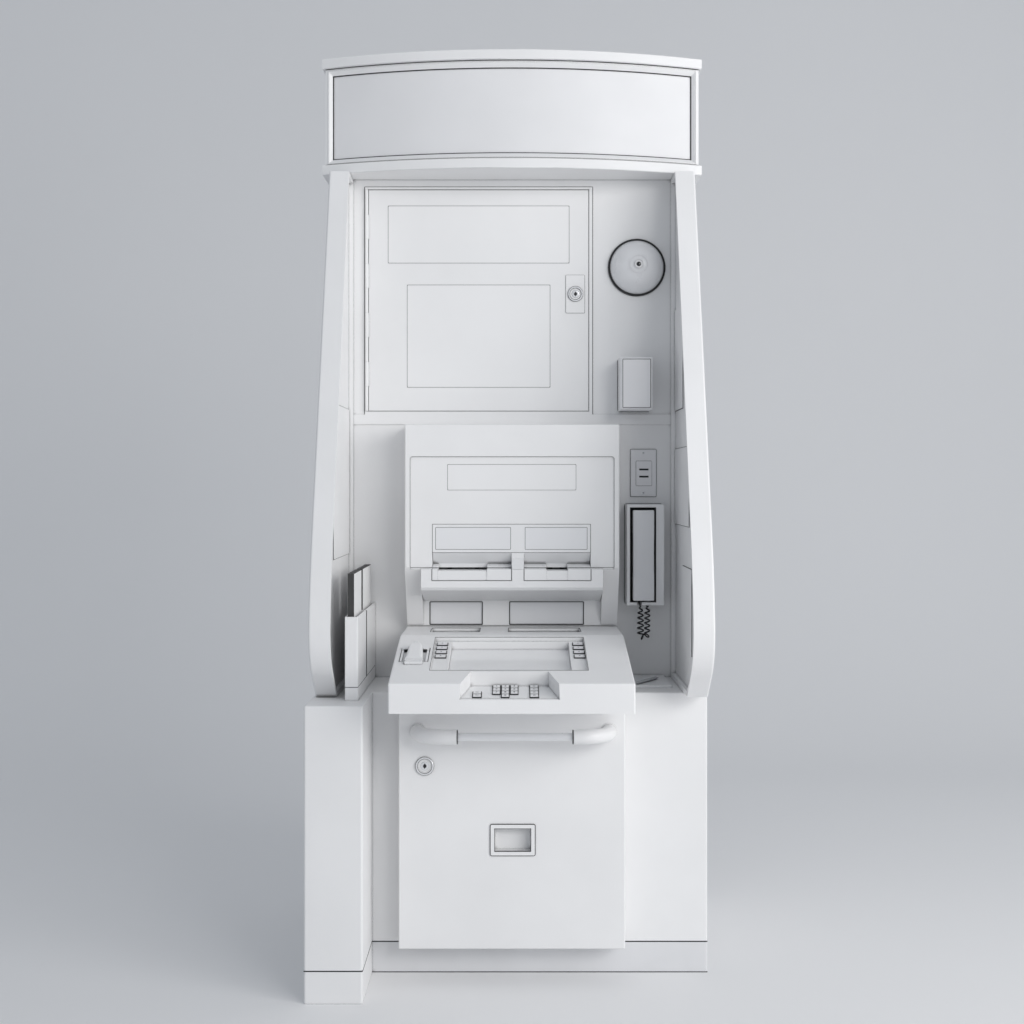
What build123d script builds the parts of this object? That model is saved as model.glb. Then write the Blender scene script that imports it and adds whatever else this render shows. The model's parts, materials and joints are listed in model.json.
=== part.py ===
from build123d import *
import math
import os

# Walk-up cash machine: cabinet with a safe door, sloping console, fascia, side wings and lit canopy.
#
# X runs to the customer's right, -Y points at the customer and +Z is up. The origin is on the floor,
# under the middle of the whole machine. Everything is in millimetres.
#
# Most places in depth are given as "ahead": the distance forward of the wall panel's front face,
# which front_y() turns into Y. Places on the sloping console are given along the slope ("down") and
# square to it ("rise").

os.makedirs("parts", exist_ok=True)

# ---------------------------------------------------------------- driving dimensions
REACH = 587.0              # console front edge, ahead of the wall panel
BACK = -330.0              # machine's rear face
WALL_Y = (REACH + BACK) / 2

CABINET_LEFT, CABINET_RIGHT = -333.0, 465.0
CABINET_FRONT = 270.0
CABINET_TOP = 666.0
PLINTH_TOP = 75.0
PEDESTAL_LEFT, PEDESTAL_FRONT = -465.0, 479.0
SHEET = 12.0               # general casing wall

DOOR_HALF = 264.0          # safe door
DOOR_FRONT = 341.0
DOOR_BOTTOM, DOOR_TOP = 78.0, 658.0
DOOR_SKIN = 8.0
PIVOT_X, PIVOT_AHEAD = 252.0, 318.0
PIVOT_R = 5.0
ARM_SIZE = 9.0             # height of each pivot arm
SAFE_LOCK_X, SAFE_LOCK_Z = -203.0, 505.0
LOCK_PLUG_R = 10.0
RUN_CLEAR = 0.05           # radial clearance of a turning fit

RAIL_Z, RAIL_AHEAD = 586.0, 418.0
RAIL_LEFT, RAIL_RIGHT = -219.0, 226.0
RAIL_BAR_LEFT, RAIL_BAR_RIGHT = -125.0, 140.0
RAIL_ELBOW_R, RAIL_BAR_R = 17.0, 9.0

CONSOLE_HALF = 267.5
SHELF_Z, SHELF_AHEAD = 800.0, 251.0
CONSOLE_LIP_Z = 731.0      # top of the console's front face
CONSOLE_SKIN = 8.0

UPPER_TOP = 1944.0         # top of the wall, underside of the canopy
WALL_HALF = 408.0
WALL_THICK = 15.0
WING_OUT = 457.0
CANOPY_HALF, CANOPY_TOP = 480.5, 2238.0
CANOPY_CORNER, CANOPY_MIDDLE = 53.0, 139.0
CAP_THICK = 25.0

FASCIA_HALF = 266.5
FASCIA_TOP, FASCIA_BEND, FASCIA_AHEAD = 1310.0, 955.0, 124.0
PANEL_AHEAD = 119.0        # recessed working face of the fascia
CHEEK_IN = 226.0
ALCOVE_AHEAD, ALCOVE_TOP = 34.0, 866.0
READER_HALF, READER_AHEAD = 224.4, 150.0
READER_TOP, READER_BOTTOM = 952.0, 907.0

UPPER_DOOR = (-369.0, 196.0, 1350.0, 1917.0)    # left, right, bottom, top
UPPER_DOOR_THICK = 20.0
UPPER_LOCK_X, UPPER_LOCK_Z = 162.6, 1650.0

PHONE = (289.5, 385.0, 855.0, 1111.0)
PHONE_AHEAD = 62.0
HANDSET = (305.0, 358.0, 868.0, 1096.0)
CORD_TUBE_R, CORD_LEAD_R = 8.0, 1.9


# ---------------------------------------------------------------- helpers
def front_y(ahead):
    return WALL_Y - ahead


def block(x0, x1, ahead0, ahead1, z0, z1):
    """Box between two X, two distances ahead of the wall and two heights."""
    size = Box(x1 - x0, ahead1 - ahead0, z1 - z0)
    return Pos((x0 + x1) / 2, front_y((ahead0 + ahead1) / 2), (z0 + z1) / 2) * size


def side_prism(outline, x0, x1):
    """Side outline of (ahead, z) points, drawn out from x0 to x1."""
    points = [(front_y(ahead), z) for ahead, z in outline]
    return extrude(Plane.YZ.offset(x0) * make_face(Polyline(*points, close=True)), x1 - x0)


def rod_y(x, z, ahead0, ahead1, radius):
    """Round bar along Y."""
    bar = Cylinder(radius, ahead1 - ahead0, rotation=(90, 0, 0))
    return Pos(x, front_y((ahead0 + ahead1) / 2), z) * bar


def rod_z(x, ahead, z0, z1, radius):
    return Pos(x, front_y(ahead), (z0 + z1) / 2) * Cylinder(radius, z1 - z0)


def rod_x(x0, x1, ahead, z, radius):
    return Pos((x0 + x1) / 2, front_y(ahead), z) * Cylinder(radius, x1 - x0, rotation=(0, 90, 0))


def edges_near(solid, x=None, ahead=None, z=None):
    """Edges whose middle lies at the given places, where None matches anywhere."""
    wanted = (x, None if ahead is None else front_y(ahead), z)

    def fits(edge):
        middle = edge.bounding_box().center()
        return all(want is None or abs(want - place) < 0.5 for want, place in zip(wanted, middle))

    return solid.edges().filter_by(fits)


nodes = {}


def keep(name, shape, colour):
    """Write one sub-part to its own file."""
    shape.label = name
    shape.color = Color(*colour)
    nodes[name] = shape
    export_step(shape, f"parts/{name}.step")


WHITE = (0.88, 0.88, 0.90)
GREY = (0.70, 0.71, 0.74)
DARK = (0.12, 0.12, 0.13)
STEEL = (0.62, 0.63, 0.65)
GLASS = (0.20, 0.24, 0.30)

# ---------------------------------------------------------------- slope frame of the console
SLOPE = math.atan2(SHELF_Z - CONSOLE_LIP_Z, REACH - SHELF_AHEAD)
SLOPE_PLANE = Plane(origin=(0, front_y(SHELF_AHEAD), SHELF_Z), x_dir=(1, 0, 0),
                    z_dir=(0, -math.sin(SLOPE), math.cos(SLOPE)))
SLOPE_UP = Axis(SLOPE_PLANE.origin, SLOPE_PLANE.z_dir)


def down(ahead):
    """Distance along the slope, from its top edge, of a point seen at this distance ahead."""
    return (ahead - SHELF_AHEAD) / math.cos(SLOPE)


def slope_block(x0, x1, down0, down1, rise0, rise1):
    """Box lying along the slope: X, distance down it, and height square to it."""
    size = Box(x1 - x0, down1 - down0, rise1 - rise0)
    local = Pos((x0 + x1) / 2, -(down0 + down1) / 2, (rise0 + rise1) / 2)
    return SLOPE_PLANE * local * size


def slope_prism(outline, rise0, rise1):
    """Outline of (x, down) points on the slope, drawn out between two rises."""
    face = make_face(Polyline(*[(x, -along) for x, along in outline], close=True))
    return extrude(SLOPE_PLANE.offset(rise0) * face, rise1 - rise0)


# ---------------------------------------------------------------- lower cabinet
SAFE_HALF = 236.0
SAFE_FLOOR, SAFE_ROOF = 95.0, 640.0
SAFE_REAR = -306.0
BASE_PLATE = 10.0
ANCHOR_X, ANCHOR_Y, ANCHOR_R = 190.0, 180.0, 7.0
ANCHOR_MIDDLE_Y = 150.0
INLET_X, INLET_Z, INLET_R = 380.0, 130.0, 20.0
ARM_HALF = 8.0
ARM_LOW_Z, ARM_HIGH_Z = 87.0, 640.0


def anchor_points():
    return [(sx * ANCHOR_X, ANCHOR_MIDDLE_Y + sy * ANCHOR_Y) for sx in (-1, 1) for sy in (-1, 1)]


def pivot_arm(z0):
    """Arm from the cabinet's front that carries one of the safe door's pins."""
    arm = block(PIVOT_X - ARM_HALF, PIVOT_X + ARM_HALF, CABINET_FRONT, PIVOT_AHEAD, z0, z0 + ARM_SIZE)
    arm += rod_z(PIVOT_X, PIVOT_AHEAD, z0, z0 + ARM_SIZE, ARM_HALF)
    return arm - rod_z(PIVOT_X, PIVOT_AHEAD, z0, z0 + ARM_SIZE, PIVOT_R)


def cabinet_body():
    body = block(CABINET_LEFT, CABINET_RIGHT, BACK, CABINET_FRONT, PLINTH_TOP, CABINET_TOP)
    corners = edges_near(body, x=CABINET_RIGHT, ahead=CABINET_FRONT)
    corners += edges_near(body, ahead=CABINET_FRONT, z=CABINET_TOP)
    corners += edges_near(body, x=CABINET_RIGHT, z=CABINET_TOP)
    body = fillet(corners, 4)
    body -= block(-SAFE_HALF, SAFE_HALF, SAFE_REAR, CABINET_FRONT, SAFE_FLOOR, SAFE_ROOF)
    inner_rear, inner_front = BACK + SHEET, CABINET_FRONT - SHEET
    roof = CABINET_TOP - SHEET
    for left, right in ((CABINET_LEFT + SHEET, -DOOR_HALF), (DOOR_HALF, CABINET_RIGHT - SHEET)):
        body -= block(left, right, inner_rear, inner_front, PLINTH_TOP, roof)
    for x, y in anchor_points():
        body -= Pos(x, y, SAFE_FLOOR) * Cylinder(20, 2 * SAFE_FLOOR)
    body -= rod_y(INLET_X, INLET_Z, BACK, inner_rear, INLET_R)
    return body + pivot_arm(ARM_LOW_Z) + pivot_arm(ARM_HIGH_Z)


def plinth():
    """Base frame under the cabinet, with a floor plate that anchors pass through."""
    frame = block(CABINET_LEFT, CABINET_RIGHT, BACK, CABINET_FRONT, 0, PLINTH_TOP)
    frame = fillet(edges_near(frame, x=CABINET_RIGHT, ahead=CABINET_FRONT), 4)
    frame -= block(CABINET_LEFT + 20, CABINET_RIGHT - 20, BACK + 20, CABINET_FRONT - 20,
                   BASE_PLATE, PLINTH_TOP)
    for x, y in anchor_points():
        frame -= Pos(x, y, 0) * Cylinder(ANCHOR_R, 3 * BASE_PLATE)
    groove = block(CABINET_LEFT - 1, CABINET_RIGHT + 1, CABINET_FRONT - 2, CABINET_FRONT + 1,
                   PLINTH_TOP - 3, PLINTH_TOP)
    side_groove = block(CABINET_RIGHT - 2, CABINET_RIGHT + 1, BACK, CABINET_FRONT + 1,
                        PLINTH_TOP - 3, PLINTH_TOP)
    return frame - groove - side_groove


def side_pedestal():
    """Narrow box beside the cabinet that comes further forward and holds the envelope rack."""
    box = block(PEDESTAL_LEFT, CABINET_LEFT, BACK, PEDESTAL_FRONT, 0, CABINET_TOP)
    rim = edges_near(box, ahead=PEDESTAL_FRONT, x=PEDESTAL_LEFT)
    rim += edges_near(box, ahead=PEDESTAL_FRONT, x=CABINET_LEFT)
    rim += edges_near(box, ahead=PEDESTAL_FRONT, z=CABINET_TOP)
    rim += edges_near(box, x=PEDESTAL_LEFT, z=CABINET_TOP)
    box = fillet(rim, 5)
    box -= block(PEDESTAL_LEFT + SHEET, CABINET_LEFT - SHEET, BACK + SHEET, PEDESTAL_FRONT - SHEET,
                 0, CABINET_TOP - SHEET)
    seam = block(PEDESTAL_LEFT - 1, CABINET_LEFT + 1, BACK - 1, PEDESTAL_FRONT + 1,
                 PLINTH_TOP - 3, PLINTH_TOP)
    seam -= block(PEDESTAL_LEFT + 2, CABINET_LEFT - 2, BACK + 2, PEDESTAL_FRONT - 2,
                  PLINTH_TOP - 4, PLINTH_TOP + 1)
    return box - seam


def cash_cassettes():
    """Four note boxes stacked in the safe, each with a hand grip let into its front."""
    boxes = []
    for level in range(4):
        z0 = SAFE_FLOOR + level * 130.0
        box = block(-115, 115, -160, 230, z0, z0 + 130)
        box = fillet(box.edges().filter_by(Axis.Z), 5)
        box -= block(-60, 60, 205, 230, z0 + 45, z0 + 90)
        boxes.append(box)
    return Compound(children=boxes)


# ---------------------------------------------------------------- safe door
DOOR_REAR = 273.0
CUP = (-41.0, 45.0, 305.5, 360.0)
CUP_FRAME = 8.5
CUP_REAR = 314.0
CUP_UNDERCUT = 8.0


def safe_door():
    """Steel pan, open at the back, with a pull cup, a lock boss and notches for the pivot arms."""
    door = block(-DOOR_HALF, DOOR_HALF, DOOR_REAR, DOOR_FRONT, DOOR_BOTTOM, DOOR_TOP)
    door = fillet(edges_near(door, ahead=DOOR_FRONT), 3)
    door -= block(-DOOR_HALF + DOOR_SKIN, DOOR_HALF - DOOR_SKIN, DOOR_REAR, DOOR_FRONT - DOOR_SKIN,
                  DOOR_BOTTOM + DOOR_SKIN, DOOR_TOP - DOOR_SKIN)
    left, right, low, high = CUP
    door += block(left - 5, right + 5, CUP_REAR, DOOR_FRONT - DOOR_SKIN, low - 5,
                  high + CUP_UNDERCUT + 5)
    frame = block(left - CUP_FRAME, right + CUP_FRAME, DOOR_FRONT, DOOR_FRONT + 2.5,
                  low - CUP_FRAME, high + CUP_FRAME)
    door += fillet(frame.edges().filter_by(Axis.Y), 3)
    door -= block(left, right, CUP_REAR + 4, DOOR_FRONT + 3, low, high)
    door -= block(left, right, CUP_REAR + 4, DOOR_FRONT - 5, high, high + CUP_UNDERCUT)
    door += rod_y(SAFE_LOCK_X, SAFE_LOCK_Z, 305, DOOR_FRONT, 16)
    door += rod_y(SAFE_LOCK_X, SAFE_LOCK_Z, DOOR_FRONT, DOOR_FRONT + 3, 21)
    door -= rod_y(SAFE_LOCK_X, SAFE_LOCK_Z, DOOR_FRONT + 1.5, DOOR_FRONT + 4, 14.5)
    door -= rod_y(SAFE_LOCK_X, SAFE_LOCK_Z, 300, DOOR_FRONT + 4, LOCK_PLUG_R + RUN_CLEAR)
    for z0 in (ARM_LOW_Z, ARM_HIGH_Z):
        door -= block(DOOR_HALF - DOOR_SKIN - 1, DOOR_HALF + 1, DOOR_REAR - 1, PIVOT_AHEAD + 11,
                      z0 - 1.5, z0 + ARM_SIZE + 1.5)
    return door - rod_z(PIVOT_X, PIVOT_AHEAD, DOOR_BOTTOM - 1, DOOR_TOP + 1, PIVOT_R + RUN_CLEAR)


def lock_plug(x, z, rear, front):
    """Cylinder with a keyway in its face and a cam on its tail."""
    plug = rod_y(x, z, rear, front, LOCK_PLUG_R)
    plug -= block(x - 1.6, x + 1.6, front - 6, front, z - 5, z + 5)
    cam = block(x - 6, x + 6, rear - 4, rear, z - 30, z + 8)
    return plug + fillet(cam.edges().filter_by(Axis.Y), 4)


def handrail_bar():
    return rod_x(RAIL_BAR_LEFT - 20, RAIL_BAR_RIGHT + 20, RAIL_AHEAD, RAIL_Z, RAIL_BAR_R)


def handrail_elbows():
    """Two swept brackets that carry the rail clear of the door."""
    elbows = []
    for x_door, x_end in ((RAIL_LEFT, RAIL_BAR_LEFT), (RAIL_RIGHT, RAIL_BAR_RIGHT)):
        corners = [(x_door, front_y(DOOR_FRONT), RAIL_Z), (x_door, front_y(RAIL_AHEAD), RAIL_Z),
                   (x_end, front_y(RAIL_AHEAD), RAIL_Z)]
        path = FilletPolyline(*corners, radius=66)
        start = Plane(origin=corners[0], z_dir=(0, -1, 0))
        elbow = sweep(start * Circle(RAIL_ELBOW_R), path=path)
        end = edges_near(elbow, x=x_end)
        elbows.append(fillet(end, 2) - handrail_bar())
    return Compound(children=elbows)


# ---------------------------------------------------------------- wall, casing and wings
STRIP_LOW, STRIP_HIGH, TRIM = 1315.0, 1341.0, 3.0
KNUCKLE_X, KNUCKLE_AHEAD, KNUCKLE_R = -373.5, 4.5, 4.0
KNUCKLES = 9
KNUCKLE_LONG = (UPPER_DOOR[3] - UPPER_DOOR[2]) / KNUCKLES
UPPER_PIN_R = 2.0


def knuckle(z0, z1, bore):
    barrel = rod_z(KNUCKLE_X, KNUCKLE_AHEAD, z0, z1, KNUCKLE_R)
    return barrel - rod_z(KNUCKLE_X, KNUCKLE_AHEAD, z0, z1, bore)


def back_wall():
    """Front panel of the upper machine, with the service door's opening, frame and hinge knuckles."""
    left, right, low, high = UPPER_DOOR
    wall = block(-WALL_HALF, WALL_HALF, -WALL_THICK, 0, CABINET_TOP, UPPER_TOP)
    wall += block(-WALL_HALF, WALL_HALF, 0, TRIM, STRIP_LOW, STRIP_HIGH)
    wall += block(left - 9, right + 10, 0, TRIM, STRIP_HIGH, high + 7.5)
    wall -= block(left - 2, right + 2, -WALL_THICK, TRIM, low - 2, high + 2)
    wall -= block(-230, 230, -WALL_THICK, 0, 880, 1290)
    wall -= block(left - 10, left, 0, TRIM + 1, low - 1, high + 1)
    for step in range(0, KNUCKLES, 2):
        z_low, z_high = low + step * KNUCKLE_LONG, low + (step + 1) * KNUCKLE_LONG
        web = block(KNUCKLE_X - 3, KNUCKLE_X + 2.4, 0, KNUCKLE_AHEAD, z_low, z_high)
        web -= rod_z(KNUCKLE_X, KNUCKLE_AHEAD, z_low, z_high, UPPER_PIN_R)
        wall += web + knuckle(z_low, z_high, UPPER_PIN_R)
    return wall


def upper_door():
    """Service door of the overhead compartment: a shallow pan with label areas and a lock plate."""
    left, right, low, high = UPPER_DOOR
    rear, front = 2 - UPPER_DOOR_THICK, 2.0
    door = block(left, right, rear, front, low, high)
    door = fillet(edges_near(door, ahead=front), 1.2)
    door -= block(left + 10, right - 10, rear, front - 5, low + 10, high - 10)
    door -= block(-319, 147, front - 0.8, front + 1, 1729, 1877)
    door -= block(-270, 98, front - 0.8, front + 1, 1410, 1674)
    plate = block(138, 186, front, front + 2, 1601.5, 1698.5)
    door += fillet(plate.edges().filter_by(Axis.Y), 2)
    door += rod_y(UPPER_LOCK_X, UPPER_LOCK_Z, rear + 2, front, 16)
    door += rod_y(UPPER_LOCK_X, UPPER_LOCK_Z, front, front + 4, 19)
    door -= rod_y(UPPER_LOCK_X, UPPER_LOCK_Z, front + 3, front + 5, 14)
    door -= rod_y(UPPER_LOCK_X, UPPER_LOCK_Z, rear, front + 5, LOCK_PLUG_R + RUN_CLEAR)
    for step in range(1, KNUCKLES, 2):
        z_low, z_high = low + step * KNUCKLE_LONG + 0.3, low + (step + 1) * KNUCKLE_LONG - 0.3
        leaf = block(KNUCKLE_X, left + 3, front - 0.2, front + 2, z_low, z_high)
        leaf -= rod_z(KNUCKLE_X, KNUCKLE_AHEAD, z_low, z_high, UPPER_PIN_R + RUN_CLEAR)
        door += leaf + knuckle(z_low, z_high, UPPER_PIN_R + RUN_CLEAR)
    return door


def hinge_pins():
    """The three pins: two for the safe door and a long one for the service door's piano hinge."""
    pins = [rod_z(PIVOT_X, PIVOT_AHEAD, DOOR_BOTTOM, ARM_LOW_Z + ARM_SIZE, PIVOT_R),
            rod_z(PIVOT_X, PIVOT_AHEAD, ARM_HIGH_Z, DOOR_TOP, PIVOT_R)]
    pins.append(rod_z(KNUCKLE_X, KNUCKLE_AHEAD, UPPER_DOOR[2], UPPER_DOOR[3], UPPER_PIN_R))
    return Compound(children=pins)


def rear_casing():
    """Tube of sheet behind the wall, with a shelf at the strip and a flange for the rear cover."""
    rear, front = BACK + 5, -WALL_THICK
    case = block(-WING_OUT, WING_OUT, rear, front, CABINET_TOP, UPPER_TOP)
    corners = edges_near(case, ahead=rear, x=-WING_OUT) + edges_near(case, ahead=rear, x=WING_OUT)
    case = fillet(corners, 4)
    inside = WING_OUT - SHEET
    case -= block(-inside, inside, rear + SHEET, front, CABINET_TOP + SHEET, 1323)
    case -= block(-inside, inside, rear + SHEET, front, 1335, UPPER_TOP - SHEET)
    case -= block(-400, 400, rear, rear + SHEET, 720, 1300)
    return case - block(-400, 400, rear, rear + SHEET, 1360, 1890)


def rear_cover():
    """Lift-off service panel with rows of vent slots."""
    cover = block(-420, 420, BACK, BACK + 5, 700, 1910)
    cover = fillet(cover.edges().filter_by(Axis.Y), 8)
    slots = [block(x - 60, x + 60, BACK, BACK + 5, z, z + 6)
             for x in (-270, 0, 270) for z0 in (780, 1640) for z in range(z0, z0 + 190, 16)]
    return cover - Compound(children=slots)


WING_POCKET, WING_RIM = 11.6, 12.0


def wing_face(grow):
    """Side outline of a wing in (Y, Z), drawn in by 'grow' all round."""
    top, foot = UPPER_TOP - grow, CABINET_TOP + grow
    rear = front_y(-WALL_THICK) if grow == 0 else front_y(grow)
    inset = grow / math.cos(math.radians(19.5))
    brow, shoulder, chin = (419 - inset, 1044), (466 - grow, 846), (420 - 0.75 * grow, 727 + 0.65 * grow)
    slant = (brow[0] - (top - brow[1]) * 0.3544, top)
    points = [(front_y(ahead), z) for ahead, z in (slant, brow, shoulder, chin)]
    lead = Vector(points[1][0] - points[0][0], points[1][1] - points[0][1])
    upper = TangentArc(points[1], points[2], tangent=lead)
    lower = TangentArc(points[2], points[3], tangent=upper % 1)
    toe = (front_y(345 - 0.4 * grow), foot)
    outline = [Line((rear, top), points[0]), Line(points[0], points[1]), upper, lower,
               Line(points[3], toe), Line(toe, (rear, foot)), Line((rear, foot), (rear, top))]
    return make_face(outline)


def wing(side):
    """Privacy panel beside the customer, 49 mm thick, hollowed on its inner face."""
    low = WALL_HALF if side > 0 else -WING_OUT
    panel = extrude(Plane.YZ.offset(low) * wing_face(0), WING_OUT - WALL_HALF)
    outer = [edge for edge in panel.edges() if abs(edge.center().X - side * WING_OUT) < 0.1
             and edge.center().Y < front_y(20) and edge.center().Z > CABINET_TOP + 5
             and edge.center().Z < UPPER_TOP - 5]
    panel = fillet(outer, 5)
    pocket_low = WALL_HALF if side > 0 else -WALL_HALF - WING_POCKET
    return panel - extrude(Plane.YZ.offset(pocket_low) * wing_face(WING_RIM), WING_POCKET)


# ---------------------------------------------------------------- canopy
CAP_RISE = CANOPY_MIDDLE - CANOPY_CORNER
CAP_RADIUS = (CANOPY_HALF ** 2 + CAP_RISE ** 2) / (2 * CAP_RISE)
BODY_INSET = 7.5
CANOPY_SKIN = 12.0
SIGN = (455.0, 1984.0, 2197.0)       # half width, bottom, top of the lit panel's opening
SIGN_BEVEL = 9.0


def bow_ahead(x, inset):
    """Distance ahead of the bowed front at this X, set back from the caps by 'inset'."""
    return CANOPY_MIDDLE - CAP_RADIUS + math.sqrt((CAP_RADIUS - inset) ** 2 - x ** 2)


def canopy_plan(half, inset, rear=BACK):
    """Plan face with a bowed front, set back from the cap's front edge by 'inset'."""
    corner = front_y(bow_ahead(half, inset))
    left, right = (-half, corner), (half, corner)
    bow = ThreePointArc(left, (0, front_y(bow_ahead(0, inset))), right)
    back = Polyline(right, (half, front_y(rear)), (-half, front_y(rear)), left)
    return make_face([bow, back])


def canopy_slab(half, inset, z0, z1, rear=BACK):
    return extrude(Plane.XY.offset(z0) * canopy_plan(half, inset, rear), z1 - z0)


def on_sign_rim(edge):
    """True for the edges where the sign's opening breaks through the bowed front."""
    half, low, high = SIGN
    middle = edge @ 0.5
    inside = abs(middle.X) < half + 0.1 and low - 0.1 < middle.Z < high + 0.1
    return inside and abs(middle.Y - front_y(bow_ahead(middle.X, BODY_INSET))) < 0.2


def canopy_shell():
    """Hollow box with two overhanging caps and a framed opening for the sign."""
    caps = []
    for z0 in (UPPER_TOP, CANOPY_TOP - CAP_THICK):
        cap = canopy_slab(CANOPY_HALF, 0, z0, z0 + CAP_THICK)
        caps.append(fillet(edges_near(cap, z=z0) + edges_near(cap, z=z0 + CAP_THICK), 2))
    body_half = CANOPY_HALF - BODY_INSET
    shell = canopy_slab(body_half, BODY_INSET, UPPER_TOP + 4, CANOPY_TOP - 4)
    shell += caps[0] + caps[1]
    shell -= canopy_slab(body_half - CANOPY_SKIN, BODY_INSET + CANOPY_SKIN, UPPER_TOP + SHEET,
                         CANOPY_TOP - SHEET, BACK + SHEET)
    half, low, high = SIGN
    shell -= block(-half, half, 20, 160, low, high)
    return chamfer(shell.edges().filter_by(on_sign_rim), SIGN_BEVEL)


def canopy_sign():
    """Bowed translucent panel held against the back of the canopy's front skin."""
    inset = BODY_INSET + CANOPY_SKIN
    outer = canopy_slab(SIGN[0] + 4, inset, SIGN[1] - 8, SIGN[2] + 8, 0)
    return outer - canopy_slab(SIGN[0] + 5, inset + 5, SIGN[1] - 9, SIGN[2] + 9, -1)


# ---------------------------------------------------------------- fascia and reader module
PANEL = (-254.0, 254.3, 1230.5)          # left, right, top of the recessed working face
BAY = (-197.6, 194.7, 1061.7)            # left, right, top of the reader module's window part
WINDOWS = ((-190.7, -3.0), (32.0, 187.3))
WINDOW_Z = (999.0, 1054.7)
DIVIDER = (-1.0, 29.6)
HOOD_Z, THROAT_AHEAD, THROAT_Z = 991.0, 90.0, 963.0
SLOTS = ((-183.8, -61.8), (85.0, 138.0))     # passbook and card
SLOT_FLOOR, SLOT_HIGH = 948.0, 5.0
SEAM = 1.0
ALCOVE_WINDOWS = ((-209.9, -75.0), (-7.2, 182.5))
ALCOVE_WINDOW_Z = (804.0, 863.0)


def fascia():
    """Upright moulding: flat face above, two cheeks that sweep back to the shelf, alcove between."""
    body = side_prism([(0, FASCIA_TOP), (FASCIA_AHEAD, FASCIA_TOP), (FASCIA_AHEAD, FASCIA_BEND),
                       (32, SHELF_Z), (0, SHELF_Z)], -FASCIA_HALF, FASCIA_HALF)
    rim = edges_near(body, ahead=FASCIA_AHEAD, x=-FASCIA_HALF)
    rim += edges_near(body, ahead=FASCIA_AHEAD, x=FASCIA_HALF)
    rim += edges_near(body, ahead=FASCIA_AHEAD, z=FASCIA_TOP)
    body = fillet(rim, 3)
    body -= block(-CHEEK_IN, CHEEK_IN, ALCOVE_AHEAD, FASCIA_AHEAD + 1, SHELF_Z, READER_TOP)
    panel = block(PANEL[0], PANEL[1], PANEL_AHEAD, FASCIA_AHEAD + 1, READER_TOP - 2, PANEL[2])
    corners = panel.edges().filter_by(Axis.Y).sort_by(Axis.Z)[2:]
    body -= fillet(corners, 6)
    body -= block(BAY[0] - SEAM, BAY[1] + SEAM, 60, FASCIA_AHEAD + 1, READER_TOP - 1, BAY[2] + SEAM)
    body -= block(-160.8, 159.5, PANEL_AHEAD - 0.8, FASCIA_AHEAD, 1146.6, 1211.2)
    body -= block(-CHEEK_IN, CHEEK_IN, 18, 60, 900, FASCIA_TOP - 12)
    body -= block(-FASCIA_HALF + 12, FASCIA_HALF - 12, 0, 100, BAY[2] + 20, FASCIA_TOP - 12)
    body -= block(-CHEEK_IN, CHEEK_IN, 0, 18, 900, BAY[2] + 21)
    for left, right in ALCOVE_WINDOWS:
        window = block(left, right, ALCOVE_AHEAD - 7, ALCOVE_AHEAD + 1, *ALCOVE_WINDOW_Z)
        body -= fillet(window.edges().filter_by(Axis.Y), 2)
    return body


def reader_module():
    """Card and passbook reader front: two instruction windows over two slots in a jutting sill."""
    sill = side_prism([(ALCOVE_AHEAD, ALCOVE_TOP), (145, 900), (READER_AHEAD, READER_BOTTOM),
                       (READER_AHEAD, READER_TOP), (ALCOVE_AHEAD, READER_TOP)], -READER_HALF, READER_HALF)
    sill = fillet(edges_near(sill, ahead=READER_AHEAD, z=READER_TOP), 2)
    tower = block(BAY[0], BAY[1], 60, PANEL_AHEAD, READER_TOP, BAY[2])
    module = sill + tower
    module += side_prism([(PANEL_AHEAD, 978), (READER_AHEAD, READER_TOP), (PANEL_AHEAD, READER_TOP)],
                         *DIVIDER)
    throat = [(PANEL_AHEAD, HOOD_Z), (THROAT_AHEAD, THROAT_Z), (READER_AHEAD + 1, READER_TOP - 0.4),
              (READER_AHEAD + 1, HOOD_Z)]
    module -= side_prism(throat, BAY[0] - 1, DIVIDER[0])
    module -= side_prism(throat, DIVIDER[1], BAY[1] + 1)
    for left, right in WINDOWS:
        window = block(left, right, PANEL_AHEAD - 2, PANEL_AHEAD + 1, *WINDOW_Z)
        module -= fillet(window.edges().filter_by(Axis.Y), 2)
    for left, right in SLOTS:
        module -= block(left, right, THROAT_AHEAD, READER_AHEAD + 1, SLOT_FLOOR, THROAT_Z)
        module -= block(left, right, 55, THROAT_AHEAD, SLOT_FLOOR, SLOT_FLOOR + SLOT_HIGH)
        module -= block(left, right, READER_AHEAD - 2, READER_AHEAD + 1, 925, SLOT_FLOOR + 1)
    for x in (BAY[0], DIVIDER[0], DIVIDER[1], BAY[1]):
        module -= block(x - 1, x + 1, READER_AHEAD - 14, READER_AHEAD + 1, 924, READER_TOP + 10)
    for left, right in ((BAY[0], DIVIDER[0]), (DIVIDER[1], BAY[1])):
        module -= block(left, right, READER_AHEAD - 6, READER_AHEAD + 1, 923, 925)
    return module


# ---------------------------------------------------------------- console
COIN_WELL, NOTE_WELL = (-199.6, -79.7), (-8.7, 168.8)
WELL_AHEAD = (77.0, 174.0)
COIN_FLOOR, NOTE_FLOOR = 750.0, 738.0
SHUTTER = (786.2, 791.2)
SHUTTER_TRAVEL = 82.0
SCREEN_TUB = (-182.0, 170.0)
TUB_AHEAD = (267.0, 501.0)
TUB_DEEP, SCREEN_DEEP = 10.0, 29.0
SCREEN = (-144.0, 135.0)
SCREEN_THICK = 12.0
NOTCH_BACK, NOTCH_RISE = 508.0, -34.0
NOTCH = ((-91.0, NOTCH_BACK), (81.0, NOTCH_BACK), (102.4, REACH), (106.2, REACH + 14),
         (-115.1, REACH + 14), (-111.5, REACH))
SENSOR_BED = (-256.0, -189.0, 345.0, 444.0)
SENSOR_DEEP = 8.0
KEY_TRAVEL = 3.0
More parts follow.
